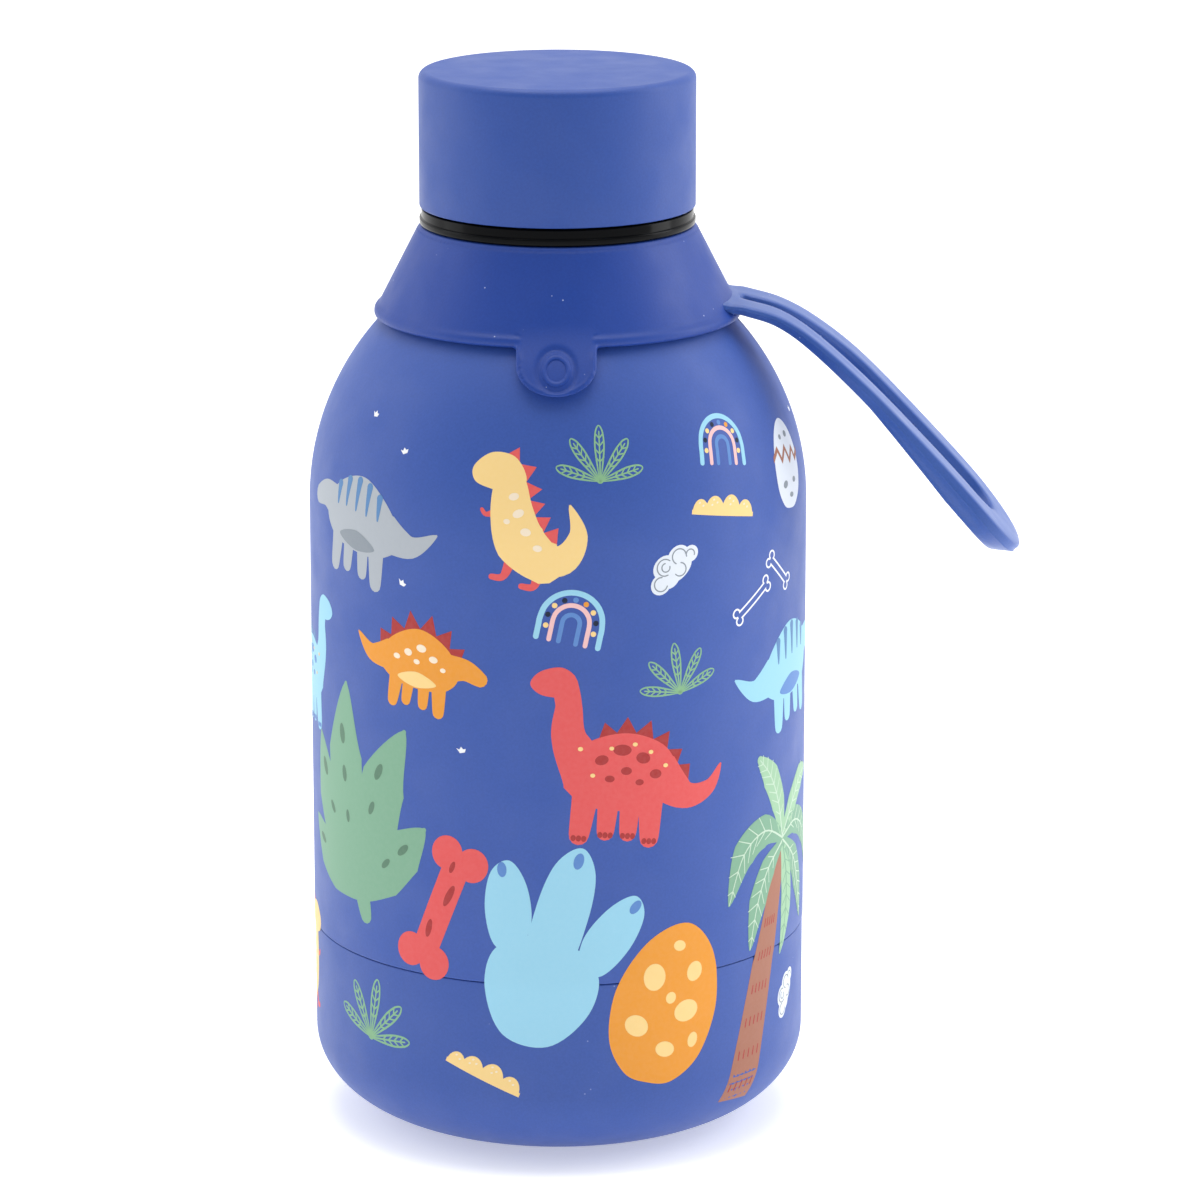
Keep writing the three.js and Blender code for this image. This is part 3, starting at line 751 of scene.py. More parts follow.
def legs(*rows):
    """Straight legs from (hip x, hip y, foot x, foot y, width at the hip, width at the foot) rows."""
    return [stroke([(x, y), (p, q)], [hip, foot]) for x, y, p, q, hip, foot in rows]


def spikes(points, heights):
    """A row of pointed plates standing on the left side of a line, one from each point to the next."""
    outlines = []
    for (start, end), height in zip(zip(points, points[1:]), heights):
        a, b = Vector(start), Vector(end)
        side = Vector((-(b - a).y, (b - a).x)).normalized()
        peak = (a + b) / 2 + side * height
        sunk = side * 0.8
        outlines.append(polygon(tuple(a - sunk), tuple(b - sunk), tuple(b), tuple(peak), tuple(a)))
    return outlines


# ---- motifs: lists of (ink, outlines, cuts, level), round their own origin ----
def leaf_parts(x, y, angle, length, width, line=0.3):
    """One outlined leaf with a midrib and slanting veins."""
    c, s = cos_sin(angle)

    def at(along, across):
        return (x + along * c - across * s, y + along * s + across * c)

    shape = ((0, 0.1), (0.3, 0.62), (0.62, 0.95), (0.86, 0.8), (0.97, 0.4))

    def rim(inset):
        upper = [at(length * p, max(0.05, width / 2 * q - inset)) for p, q in shape]
        lower = [at(length * p, -max(0.05, width / 2 * q - inset)) for p, q in shape]
        return blob(*upper, at(length - inset, 0), *reversed(lower))

    ribs = [stroke([at(0.2, 0), at(length * 0.5, 0), at(length * 0.88, 0)], [line, line * 0.8], 4)]
    for k in range(4):
        foot = length * (0.34 + 0.14 * k)
        reach = width * 0.36
        for side in (-1, 1):
            ribs.append(stroke([at(foot, 0), at(foot + reach * 1.1, side * reach)], [line * 0.8] * 2, 3))
    return rim(0), rim(line), ribs


def sprig(angles=(168, 131, 94, 57, 20), lengths=(8.2, 9, 9.6, 9, 8.2)):
    """A fan of five outlined leaves."""
    inks = []
    for angle, length in zip(angles, lengths):
        rim, inner, ribs = leaf_parts(0, -4, angle, length, 2.1)
        inks.append(("line_green", [rim], [inner], 0))
        inks.append(("line_green", ribs, [], 0))
    inks.append(("line_green", [oval(0, -4, 0.55, 0.4)], [], 0))
    return inks


def rainbow():
    """Three arches with a row of beads between them."""
    inks = []
    for ink, radius, width in (("light_blue", 4.7, 0.85), ("pink", 2.75, 0.7), ("mid_blue", 1.3, 0.7)):
        points = [(-radius, -2.4), (-radius, -0.6)]
        for k in range(9):
            angle = math.pi - math.pi * k / 8
            points.append((radius * math.cos(angle), 0.6 + radius * math.sin(angle)))
        points += [(radius, -0.6), (radius, -2.4)]
        inks.append((ink, [stroke(points, [width, width], 4)], [], 0))
    beads = ("yellow", "navy", "yellow", "navy", "mid_blue", "orange", "yellow", "navy", "yellow")
    for k, ink in enumerate(beads):
        c, s = cos_sin(194 - 208 * k / (len(beads) - 1))
        inks.append((ink, [oval(3.72 * c, 0.5 + 3.72 * s, 0.42, 0.42)], [], 0))
    return inks


def hills():
    """A row of four rounded bushes on a flat foot."""
    foot_y = -1.4
    bumps = []
    for x, a, b in ((-4.8, 1.5, 2.1), (-2.1, 1.9, 2.7), (1.2, 2, 3), (4.3, 1.7, 2.3)):
        bumps.append([(p, max(q, foot_y)) for p, q in oval(x, foot_y, a, b)])
    foot = polygon((-6.4, -1.7), (6.2, -1.7), (6.2, -1), (-6.4, -1))
    dots = []
    for x, y in ((-5.1, 0.1), (-4.4, -0.3), (-2.4, 0.7), (-1.7, 0.3), (-2.7, -0.1), (0.8, 1),
            (1.6, 0.6), (1, 0.1), (4, 0.2), (4.7, -0.2)):
        dots.append(oval(x, y, 0.2, 0.15, 40))
    return [("yellow", [foot, *bumps], [], 0), ("cream", dots, [], 1)]


def cloud():
    """A puffy cloud with swirled lines."""
    puffs = ovals((-3, -0.4, 1.7, 1.5), (-0.9, 1, 2, 1.7), (1.7, 0.5, 1.9, 1.7), (3.4, -0.6, 1.3, 1.2),
        (0.6, -1, 2.4, 1.3), (-1.4, -1.1, 1.6, 1.1))
    swirls = [arc(-3, -0.4, 1.05, 40, 300, 0.18), arc(-0.9, 1, 1.25, 10, 250, 0.18),
        arc(-0.8, 0.9, 0.65, 60, 330, 0.18), arc(1.8, 0.5, 1.15, -30, 200, 0.18),
        arc(0.6, -1, 1, 180, 400, 0.18), arc(3.3, -0.6, 0.7, -60, 160, 0.18)]
    return [("cloud", puffs, [], 0), ("dark_grey", swirls, [], 1)]


def bone_outlines(length, width, inset=0):
    """A long bone's shaft and its two knuckles at each end, all drawn in by the inset."""
    knuckle = width * 0.62
    reach = length / 2 - knuckle
    half = width / 2 - inset
    shapes = [polygon((-reach, -half), (reach, -half), (reach, half), (-reach, half))]
    for x in (-reach, reach):
        for y in (-knuckle * 0.82, knuckle * 0.82):
            shapes.append(oval(x, y, knuckle - inset, knuckle * 0.94 - inset))
    return shapes


def bone_line(length=9.5, width=1.35):
    """A small bone in outline."""
    return [("white", bone_outlines(length, width), bone_outlines(length, width, 0.28), 0)]


def bone_solid(length=23, width=4.4):
    """A big bone with darker marks."""
    marks = ovals((-4, 0.6, 1.5, 0.5, 8), (2.5, -0.6, 1.9, 0.55, -5), (7, 0.6, 1, 0.4))
    return [("red", bone_outlines(length, width), [], 0), ("dark_red", marks, [], 1)]


def footprint():
    """A three-toed footprint with a claw at the end of each toe."""
    pad = blob((-8.2, -8.5), (-3.5, -14.5), (3.8, -14.2), (8.4, -8), (8.6, -1.5), (4.2, 2.4), (0, 1.2),
        (-4.5, 2.5), (-8.8, -1.8))
    toes = [
        blob((-8.9, -0.6), (-11.9, 4.6), (-12.6, 10.6), (-10.2, 13.4), (-6.6, 10.4), (-4.2, 4.6),
            (-5.2, -0.6)),
        blob((-3.2, -0.8), (-4.2, 7), (-3.2, 15), (0.2, 18.6), (3.4, 14.8), (4.2, 7), (3, -0.8)),
        blob((5.1, -0.6), (4.4, 4.6), (7, 10.2), (10.6, 13), (12.9, 10.2), (12, 4.4), (8.8, -0.8)),
    ]
    claws = ovals((-11, 11.6, 0.75, 1.25, 20), (0.2, 16.4, 0.8, 1.35), (11.1, 11.2, 0.75, 1.25, -24))
    return [("light_blue", [pad, *toes], [], 0), ("mid_blue", claws, [], 1)]


def egg_outline(width, height):
    """An egg that stands on its wide end."""
    half, tall = width / 2, height / 2
    side = [(half * 0.62, tall * 0.72), (half * 0.96, tall * 0.1), (half * 0.86, -tall * 0.55),
        (half * 0.45, -tall * 0.93)]
    return blob((0, tall), *side, (0, -tall), *((-x, y) for x, y in reversed(side)))


def spotted_egg():
    """A big egg with light spots."""
    spots = ovals((-3.6, 3.8, 1.9, 2.3, 20), (3.4, 5.8, 1.4, 1.7), (3.7, -0.8, 2.2, 1.8, 30),
        (-4.4, -4.6, 2.1, 1.7, -20), (1.6, -7.6, 1.7, 1.3), (-0.6, 9.6, 1.1, 0.9), (0.3, 0.9, 0.9, 1),
        (6.3, -5.4, 0.9, 1.3))
    return [("orange", [egg_outline(19.5, 27)], [], 0), ("yellow", spots, [], 1)]


def cracked_egg():
    """A pale egg with a zigzag crack round it."""
    band = [(-4.9, 1), (-3.3, 2.6), (-2, 0.8), (-0.5, 2.8), (0.9, 0.7), (2.4, 2.6), (3.5, 0.9),
        (4.9, 2.1), (4.9, 1.2), (3.5, 0), (2.4, 1.7), (0.9, -0.2), (-0.5, 1.9), (-2, -0.1), (-3.3, 1.7),
        (-4.9, 0.1)]
    marks = ovals((-1.6, -3.2, 0.8, 0.55, 20), (1.9, -2.6, 0.6, 0.45), (0.6, -4.8, 0.7, 0.4),
        (0.9, 4.3, 0.6, 0.5), (-1.4, 3.9, 0.45, 0.4))
    shell = [egg_outline(9.5, 13.5)]
    return [("cloud", shell, [], 0), ("brown", [polygon(*band)], [], 1), ("dark_grey", marks, [], 1)]


def tiny_mark():
    """A tiny splash with three points."""
    splash = polygon((-0.75, 0.35), (-0.3, 0.1), (0.05, 0.5), (0.3, 0.1), (0.75, 0.1),
                     (0.5, -0.4), (-0.3, -0.45), (-0.45, -0.15))
    return [("white", [splash], [], 0)]


def frond(spine, widths, ink, vein):
    """A drooping palm leaf with a pale midrib and side veins."""
    line = spline(spine, False, 6)
    veins = [stroke(spine, [0.32, 0.14], 6)]
    for i in range(4, len(line) - 2, 2):
        here, before = Vector(line[i]), Vector(line[i - 1])
        along = (here - before).normalized()
        reach = width_at(i / (len(line) - 1), widths) * 0.42
        for side in (-1, 1):
            tip = here + along * reach * 0.9 + Vector((-along.y, along.x)) * side * reach
            veins.append(stroke([tuple(here), tuple(tip)], [0.2, 0.12], 3))
    return [(ink, [stroke(spine, widths, 8)], [], 1), (vein, veins, [], 2)]


def palm():
    """A palm tree whose trunk leans and whose crown has seven fronds."""
    trunk = [(-1.4, 0.5), (-9.2, -18), (-16.6, -39.6), (-9.6, -40.6), (-3.6, -19), (1.4, 0.6)]
    ticks = []
    for row in range(6):
        y = -13 - row * 5
        middle = -6.2 + (y + 18) * 0.31
        half = 1.5 + 0.06 * (-y - 10)
        for k in range(5):
            x = middle + half * (-0.8 + 0.4 * k)
            ticks.append(stroke([(x, y), (x + 0.35, y + 1.25)], [0.22, 0.18], 3))
    inks = [("brown", [polygon(*trunk)], [], 0), ("dark_red", ticks, [], 1)]
    for spine, widths, ink, vein in (
        (((0, 0), (-5.5, 2.6), (-11, 0.2), (-14.6, -7.2)), (1.2, 5.4, 5.4, 0.4), "green", "pale_green"),
        (((0, -0.5), (-4.6, -3.6), (-7.8, -8.6), (-10, -15.6)), (1, 4.4, 4.6, 0.4), "green", "pale_green"),
        (((0, -0.5), (1.4, -6), (1.2, -12), (-1, -18.8)), (1, 3.8, 3.8, 0.4), "leaf_green", "green"),
        (((0, 0.3), (-1.2, 6), (-3.6, 11), (-6.6, 14.4)), (1, 4.2, 4.6, 1.4), "leaf_green", "pale_green"),
        (((0, 0.3), (4.4, 4.6), (9, 7.4), (13.6, 7.6)), (1, 4, 4.2, 0.6), "leaf_green", "pale_green"),
        (((0, 0), (5.6, 1.2), (11.2, -2), (15.2, -9)), (1, 4.6, 4.6, 0.4), "green", "pale_green"),
        (((0.3, -0.5), (4.6, -4.4), (7, -9.4), (8.4, -15.6)), (1, 4.2, 4.2, 0.4), "green", "pale_green"),
    ):
        inks += frond(spine, widths, ink, vein)
    return inks


def leaf_cluster():
    """A big fan of broad leaves with darker flecks."""
    leaves = [
        stroke([(1, -15), (-4.4, -7.5), (-8, 0), (-10, 8.5)], [3, 8.2, 8.4, 0.7]),
        stroke([(1, -15), (-1.2, -4), (-1.4, 6.5), (0.6, 17.4)], [3.4, 9.4, 9.8, 0.7]),
        stroke([(1, -15), (4.8, -6), (8, 2.8), (13.4, 11)], [3.2, 9.2, 9.2, 0.7]),
        stroke([(1, -15), (6.4, -11.4), (11, -7.6), (15.4, -4)], [3, 8, 7.6, 0.7]),
        stroke([(1, -15), (-5.4, -12.4), (-9.8, -9.4), (-14, -5)], [2.8, 7, 7, 0.7]),
        stroke([(0.6, -12), (1.2, -16), (1.6, -18.5)], [4.6, 3.4, 2.6]),
    ]
    flecks = []
    for x, y, turn, size in ((-8.6, 3.4, 112, 1.5), (-6.2, -2.6, 122, 1.1), (-1.5, 9.4, 92, 1.6),
            (-1.6, 3.2, 92, 1.3), (7.3, 4.4, 55, 1.5), (5, -1.4, 58, 1.2), (11, -7.4, 36, 1.3),
            (7.2, -9.8, 38, 1.1), (-11.2, -8.2, 146, 1.2), (-1.4, -3.4, 92, 1)):
        flecks.append(oval(x, y, size, size * 0.45, turn))
    return [("green", leaves, [], 0), ("dark_green", flecks, [], 1)]


def humped(ink, belly, plate, mark, plates=True):
    """A stout four-legged dinosaur in side view, heading left, without a face."""
    body = blob((-9, -1), (-6, 3.8), (0, 6.2), (6, 3.6), (9.6, -1.2), (6, -4.6), (0, -5.4), (-6.4, -4.6))
    parts = [
        body,
        stroke([(-7, 0.2), (-10.2, 0.4), (-13.2, -0.8)], [5.4, 4.2, 3]),
        stroke([(7, -0.6), (11.6, -1.2), (15.6, 1.6)], [6.2, 3.4, 0.4]),
        *legs((-5, -3, -5.4, -9, 3.4, 2.4), (4.6, -3, 5.2, -9, 3.6, 2.4),
            (-1.8, -3.4, -1.9, -8.2, 2.8, 2.1), (1.6, -3.4, 2, -8.2, 2.8, 2.1)),
    ]
    back = [(-8.9, 1.4), (-6.6, 3.9), (-3.6, 5.7), (0, 6.3), (3.6, 5.5), (6.7, 3.5), (9.3, 1.2)]
    inks = [(ink, parts, [], 0)]
    if plates:
        rows = spikes(back, [2.6, 3.1, 3.5, 3.5, 3, 2.3])
        inks.insert(0, (plate, rows, parts, 0))
    else:
        bars = []
        stripes = ((-6, 3.4, 3), (-3.6, 4.8, 4), (-1, 5.4, 4.6), (1.6, 5.2, 4.4), (4.2, 4.2, 3.4))
        for x, y, length in stripes:
            bars.append(stroke([(x, y), (x + 0.2, y - length)], [1.3, 0.3]))
        inks.append((plate, bars, [], 1))
    inks.append((belly, [blob((-4.5, -3.9), (0, -2.2), (4.4, -3.9), (0, -5.2))], [], 1))
    spots = ovals((-3.4, 1, 0.95, 0.65), (-0.6, 2.6, 1.1, 0.75), (2.3, 1.2, 0.9, 0.7),
        (0.2, -0.2, 0.7, 0.5), (4.9, -0.2, 0.8, 0.55), (-5.6, -0.6, 0.6, 0.45))
    if mark:
        inks.append((mark, spots, [], 1))
    return inks


def long_neck(ink, plate, mark):
    """A long-necked dinosaur in side view, heading left, without a face."""
    parts = [
        blob((-8, -3), (-5.6, 2.4), (1.2, 4.6), (8, 2.4), (10.6, -3), (7, -7.4), (1, -8.2), (-5.6, -7.2)),
        stroke([(-4.6, -2.6), (-8.2, 3.2), (-8.8, 8.6), (-9.8, 12)], [8.6, 5.6, 4.2, 4.2]),
        blob((-8, 12.8), (-10.4, 14.6), (-13.8, 13.6), (-15.2, 11.4), (-13.2, 9.8), (-9.6, 10)),
        stroke([(7.4, -2.4), (12.4, -5.6), (16.8, -4.4), (18.8, -0.8)], [7.8, 4.4, 2.6, 0.4]),
        *legs((-4.6, -5.6, -5, -12.6, 4.4, 3.2), (6.2, -5.6, 6.6, -12.6, 4.4, 3.2),
            (-0.8, -6.2, -0.8, -11.8, 3.6, 2.8), (2.8, -6.2, 2.9, -11.8, 3.6, 2.8)),
    ]
    back = [(-3.4, 3.6), (-0.6, 4.6), (2.6, 4.7), (5.6, 3.7), (8.2, 2), (10.2, -0.6), (12.6, -2.9)]
    spots = ovals((-2.6, 0, 1.1, 0.8, 15), (0.6, 1.8, 1.5, 0.9), (4.2, 0.6, 1.2, 0.9, -10),
        (1.6, -1.6, 0.9, 0.65), (6.6, -2, 1, 0.75), (-1, -3, 0.8, 0.55), (4, -3.4, 0.7, 0.5))
    toes = []
    for x in (-5, -0.8, 2.9, 6.6):
        for k in (-1, 0, 1):
            toes.append(oval(x + k * 0.85, -13.1 if x in (-5, 6.6) else -12.3, 0.42, 0.5))
    dots = ovals((-6.2, 1.6, 0.42, 0.36), (-1.2, 2, 0.4, 0.32), (2.6, 2.8, 0.42, 0.34),
        (5.4, 1.6, 0.4, 0.34), (8.2, -0.6, 0.42, 0.34), (-3.8, -2.6, 0.4, 0.34))
    return [(plate, spikes(back, [2.2, 2.6, 2.7, 2.6, 2.2, 1.8]), parts, 0), (ink, parts, [], 0),
        (mark, spots + toes, [], 1), ("yellow", dots, [], 2)]


def upright(ink, plate, mark):
    """A two-legged dinosaur in side view, heading left, without a face."""
    parts = [
        stroke([(-1.4, 4.6), (-0.6, 0.6), (1.2, -3.6), (4.8, -6.4)], [5.2, 6.6, 7.8, 6.2]),
        blob((-7.6, 6.6), (-5, 9), (-1.2, 8.8), (1, 5.8), (-0.4, 3.2), (-4, 3.6), (-7, 4.4)),
        stroke([(3.4, -5.6), (7.8, -5.4), (9.6, -1.6), (8, 2.6)], [6.4, 4.6, 2.8, 0.4]),
    ]
    limbs = [
        stroke([(0.2, -5.6), (-0.8, -9), (-2.6, -9.4)], [2, 1.1, 0.9]),
        stroke([(4.4, -7.4), (3.8, -10), (2, -10.2)], [2, 1.1, 0.9]),
        stroke([(-2.6, 0.6), (-4.4, -0.2), (-5.2, 0.4)], [1.3, 0.7, 0.6]),
    ]
    back = [(-2.8, 8.9), (-0.4, 7.9), (1, 5.4), (1.6, 2.8), (2.7, 0.4), (4.4, -1.8), (6.6, -3.2)]
    spots = ovals((-0.6, 3, 0.8, 0.55, 20), (0.4, 0.6, 0.9, 0.6, 30), (-1.2, -0.8, 0.5, 0.4),
        (1.8, -2, 0.8, 0.6), (3.8, -4.2, 0.7, 0.5))
    return [(plate, spikes(back, [2.1, 2.3, 2.3, 2.3, 2.2, 2]), parts, 0), (plate, limbs, parts, 0),
        (ink, parts, [], 0), (mark, spots, [], 1)]


# Where each motif sits: (motif, distance round the wall from the front, height along the skin,
# size, turn in degrees, and MIRRORED if it faces the other way).
MIRRORED = -1
PATTERN = [
    (humped("grey", "dark_grey", "slate_blue", None, plates=False), -33.5, 97.5, 0.98, -8),
    (upright("yellow", "red", "cream"), -6, 100.6, 0.98, -6),
    (humped("orange", "yellow", "dark_red", "cream"), -21.5, 77.8, 0.78, -6, MIRRORED),
    (long_neck("red", "dark_red", "dark_red"), 9, 64, 0.92, -6),
    (long_neck("light_blue", "slate_blue", "mid_blue"), -52, 72, 0.74, 4, MIRRORED),
    (humped("light_blue", "mid_blue", "slate_blue", None, plates=False), 44.5, 73.5, 0.98, 6, MIRRORED),
    (cracked_egg(), 45, 103.5, 1, -8),
    (upright("yellow", "red", "cream"), -54.5, 25, 0.88, 10, MIRRORED),
    (sprig(), 7, 109.2, 0.86, -6),
    (sprig(), 18.6, 76.6, 0.8, 4),
    (sprig(), -30.8, 21.6, 1, -14),
    (rainbow(), 28.4, 108.6, 0.92, -8),
    (rainbow(), 2, 84.4, 0.98, -12),
    (hills(), 27.2, 100.4, 0.96, -10),
    (hills(), -10.8, 16.2, 0.98, -22),
    (cloud(), 17.6, 92.3, 1, 42),
    (cloud(), 43.6, 21.6, 0.86, 60),
    (bone_line(), 33, 85, 1, 30),
    (bone_line(8.6), 40, 88.2, 1, -40),
    (palm(), 41.8, 46.5, 0.96, 2),
    (leaf_cluster(), -36, 54.5, 0.98, 6),
    (bone_solid(), -17.9, 40.6, 0.97, 68),
    (footprint(), -1.2, 34.2, 0.94, -16),
    (spotted_egg(), 17, 26, 0.92, -16),
    (tiny_mark(), -34, 113, 1, 0),
    (tiny_mark(), -25.4, 108.6, 1, 20),
    (tiny_mark(), -24.2, 89.2, 1, -20),
    (tiny_mark(), -14.3, 65.2, 1, 10),
    (tiny_mark(), 54.5, 110, 1, 0),
    # The sides and back carry the same kinds of motif.
    (rainbow(), 65, 92, 0.98, 10),
    (sprig(), 69, 108, 0.86, 8),
    (upright("orange", "dark_red", "cream"), 66.5, 63, 0.98, 6, MIRRORED),
    (tiny_mark(), 79, 78, 1, 0),
    (sprig(), 67, 40, 0.92, 6),
    (hills(), 68, 19, 0.98, 8),
    (long_neck("green", "dark_green", "dark_green"), 92, 60, 0.9, 4, MIRRORED),
    (cloud(), 86, 98, 1, 12),
    (humped("yellow", "cream", "red", "cream"), 103, 98, 0.82, -4),
    (cracked_egg(), 90, 82, 0.84, 14),
    (spotted_egg(), 86.5, 27, 0.86, 14),
    (footprint(), 108, 31, 0.8, 10),
    (bone_line(), 112.5, 78, 1, 22),
    (rainbow(), 114, 56, 0.9, -6),
    (leaf_cluster(), 131.5, 36, 0.86, -4, MIRRORED),
    (long_neck("orange", "red", "yellow"), 131, 71, 0.9, -4),
    (sprig(), 122, 108.5, 0.84, -4),
    (cloud(), 141, 97, 0.96, -14),
    (tiny_mark(), 126, 92, 1, 30),
    (hills(), 131, 13.5, 0.9, 4),
    (palm(), 156.5, 48, 0.84, 0, MIRRORED),
    (humped("red", "dark_red", "yellow", "dark_red"), 153, 79, 0.78, 4, MIRRORED),
    (rainbow(), 157.5, 106, 0.88, 6),
    (bone_line(8.6), 166.5, 90, 1, -34),
    (cloud(), 147.5, 19, 0.86, 30),
    (tiny_mark(), 143.5, 112, 1, 0),
]


# ---- wrapping flat outlines onto a curved skin ----
WALL_Z = 30.5  # on the straight wall from here up, a height along the skin equals z


def skin_line():
    """The bottle's outer line, as heights along it and (radius, z) points."""
    points = ellipse(BOOT_R - BOOT_CORNER_R, BOOT_CORNER_Z, BOOT_CORNER_R, BOOT_CORNER_Z, -80, 0, 60)
    points += [(BOOT_R, SEAM_Z - 0.9), (BODY_R, SEAM_Z + 0.1)]
    start = len(points)
    points += [(BODY_R, WALL_Z)] + shoulder(0, NECK_R + NECK_FILLET, 160)
    line = np.array(points)
    heights = np.concatenate([[0], np.cumsum(np.hypot(*np.diff(line, axis=0).T))])
    return heights - heights[start] + WALL_Z, line


SKIN_HEIGHTS, SKIN = skin_line()
SKIN_BENDS = [height for height, point in zip(SKIN_HEIGHTS, SKIN) if abs(point[1] - SEAM_Z) < 1]
SKIN_DIRECTIONS = np.gradient(SKIN, SKIN_HEIGHTS, axis=0)


def on_bottle(flat, lift):
    """Places and normals of flat points (distance round, height along) lifted off the bottle's skin."""
    angle = flat[:, 0] / BODY_R
    r = np.interp(flat[:, 1], SKIN_HEIGHTS, SKIN[:, 0])
    z = np.interp(flat[:, 1], SKIN_HEIGHTS, SKIN[:, 1])
    out = np.interp(flat[:, 1], SKIN_HEIGHTS, SKIN_DIRECTIONS[:, 1])
    up = -np.interp(flat[:, 1], SKIN_HEIGHTS, SKIN_DIRECTIONS[:, 0])
    size = np.hypot(out, up)
    out, up = out / size, up / size
    r = r + out * lift
    places = np.stack([r * np.sin(angle), -r * np.cos(angle), z + up * lift], 1)
    normals = np.stack([out * np.sin(angle), -out * np.cos(angle), up], 1)
    return places, normals


def on_tab(flat, lift):
    """Places and normals of front-view points (x, z) lifted off the shoulder under the tab."""
    a, b = SHOULDER_A + lift, SHOULDER_B + lift
    share = np.clip((flat[:, 1] - SHOULDER_Z) / b, 0, 0.999)
    radius = SHOULDER_AXIS_R + a * np.sqrt(1 - share ** 2)
    y = -np.sqrt(radius ** 2 - flat[:, 0] ** 2)
    places = np.stack([flat[:, 0], y, flat[:, 1]], 1)
    slope = share / np.sqrt(1 - share ** 2) * a / b
    normals = np.stack([flat[:, 0] / radius, y / radius, slope], 1)
    return places, normals / np.linalg.norm(normals, axis=1)[:, None]


def filled(outlines, cuts, pitch):
    """Points and triangles that fill the outlines but not the cuts, with a row of points at each bend."""
    points, loops = [], []
    for outline in [*outlines, *cuts]:
        ring = [Vector(point) for point in outline]
        if sum(a.cross(b) for a, b in zip(ring, ring[1:] + ring[:1])) < 0:
            ring.reverse()
        loops.append(list(range(len(points), len(points) + len(ring))))
        points += ring
    corners = np.array([tuple(p) for loop in loops[:len(outlines)] for p in (points[i] for i in loop)])
    low, high = corners.min(0), corners.max(0)
    bends = [height for height in SKIN_BENDS if low[1] < height < high[1]]
    for row, y in enumerate([*np.arange(low[1] + pitch / 2, high[1], pitch), *bends]):
        shift = pitch / 2 if row % 2 else 0
        for x in np.arange(low[0] + pitch / 2 + shift, high[0], pitch):
            points.append(Vector((float(x), float(y))))
    verts, _, faces, _, _, origins = delaunay_2d_cdt(points, [], loops, 0, 1e-5)
    kept = []
    for face, source in zip(faces, origins):
        inside = any(i < len(outlines) for i in source)
        if inside and not any(i >= len(outlines) for i in source):
            a, b, c = (verts[i] for i in face)
            area = (b - a).cross(c - a) / 2
            if abs(area) > 1e-6:
                kept.append(tuple(face) if area > 0 else tuple(reversed(face)))
    used = sorted({i for face in kept for i in face})
    renumbered = {old: new for new, old in enumerate(used)}
    flat = np.array([tuple(verts[i]) for i in used]).reshape(-1, 2)
    return flat, [tuple(renumbered[i] for i in face) for face in kept]


def slab(flat, triangles, place, low, high):
    """A closed thin solid over the triangles, between two lifts off a skin: points, normals, faces."""
    top, normals = place(flat, high)
    bottom, _ = place(flat, low)
    count = len(flat)
    edges = {}
    for a, b, c in triangles:
        for edge in ((a, b), (b, c), (c, a)):
            edges[edge] = True
    faces = list(triangles) + [(c + count, b + count, a + count) for a, b, c in triangles]
    for a, b in edges:
        if (b, a) not in edges:
            faces.append((a + count, b + count, b, a))
    return np.concatenate([top, bottom]), np.concatenate([normals, normals]), faces


INK_LOW = -0.03  # every patch reaches this far into the paint
INK_STEP = 0.016  # and stands out by this for each level of ink
INK_PITCH = 1.2  # spacing of the points that bend a patch round the bottle
INK_DENSITY = 0.88  # the inks print a little darker than their nominal tones


def add_print():
    """Every motif as thin patches of ink on the bottle, in one piece."""
    places, normals, faces, colours = [], [], [], []
    count = 0
    for motif, x, y, size, turn, *mirrored in PATTERN:
        c, s = (value * size for value in cos_sin(turn))
        flip = MIRRORED if mirrored else 1

        def moved(outline):
            return [(x + flip * p * c - q * s, y + flip * p * s + q * c) for p, q in outline]

        for ink, outlines, cuts, level in motif:
            flat, triangles = filled([moved(o) for o in outlines], [moved(o) for o in cuts], INK_PITCH)
            high = INK_STEP * (level + 1)
            more_places, more_normals, more_faces = slab(flat, triangles, on_bottle, INK_LOW, high)
            places.append(more_places)
            normals.append(more_normals)
            faces += [tuple(i + count for i in face) for face in more_faces]
            colours += [times(INKS[ink], INK_DENSITY)] * len(more_places)
            count += len(more_places)
    mesh = bpy.data.meshes.new("kids_print")
    mesh.from_pydata((np.concatenate(places) * MM).tolist(), [], faces)
    mesh.materials.append(looks["ink"])
    mesh.shade_smooth()
    mesh.normals_split_custom_set_from_vertices(np.concatenate(normals).tolist())
    shades = mesh.color_attributes.new("ink", "FLOAT_COLOR", "POINT")
    shades.data.foreach_set("color", np.array(colours, np.float32).ravel())
    piece = bpy.data.objects.new("kids_print", mesh)
    bpy.context.scene.collection.objects.link(piece)
    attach(piece, "bottle")


add_print()


# ---- collar ----
def turned_about_z(points, degrees):
    """Points turned about the bottle's axis."""
    c, s = cos_sin(degrees)
    return [(x * c - y * s, x * s + y * c, z) for x, y, z in points]


def cone_radius(z):
    """The collar's outer radius between its rim and its top."""
    return RIM_R + (COLLAR_TOP_R - RIM_R) * (z - RIM_Z) / (COLLAR_TOP_Z - RIM_Z)


def tab_radius(z):
    """Radius of the tab's face at a height."""
    a, b = SHOULDER_A + GAP + TAB_THICK, SHOULDER_B + GAP + TAB_THICK
    return SHOULDER_AXIS_R + a * np.sqrt(1 - np.clip((z - SHOULDER_Z) / b, 0, 0.999) ** 2)


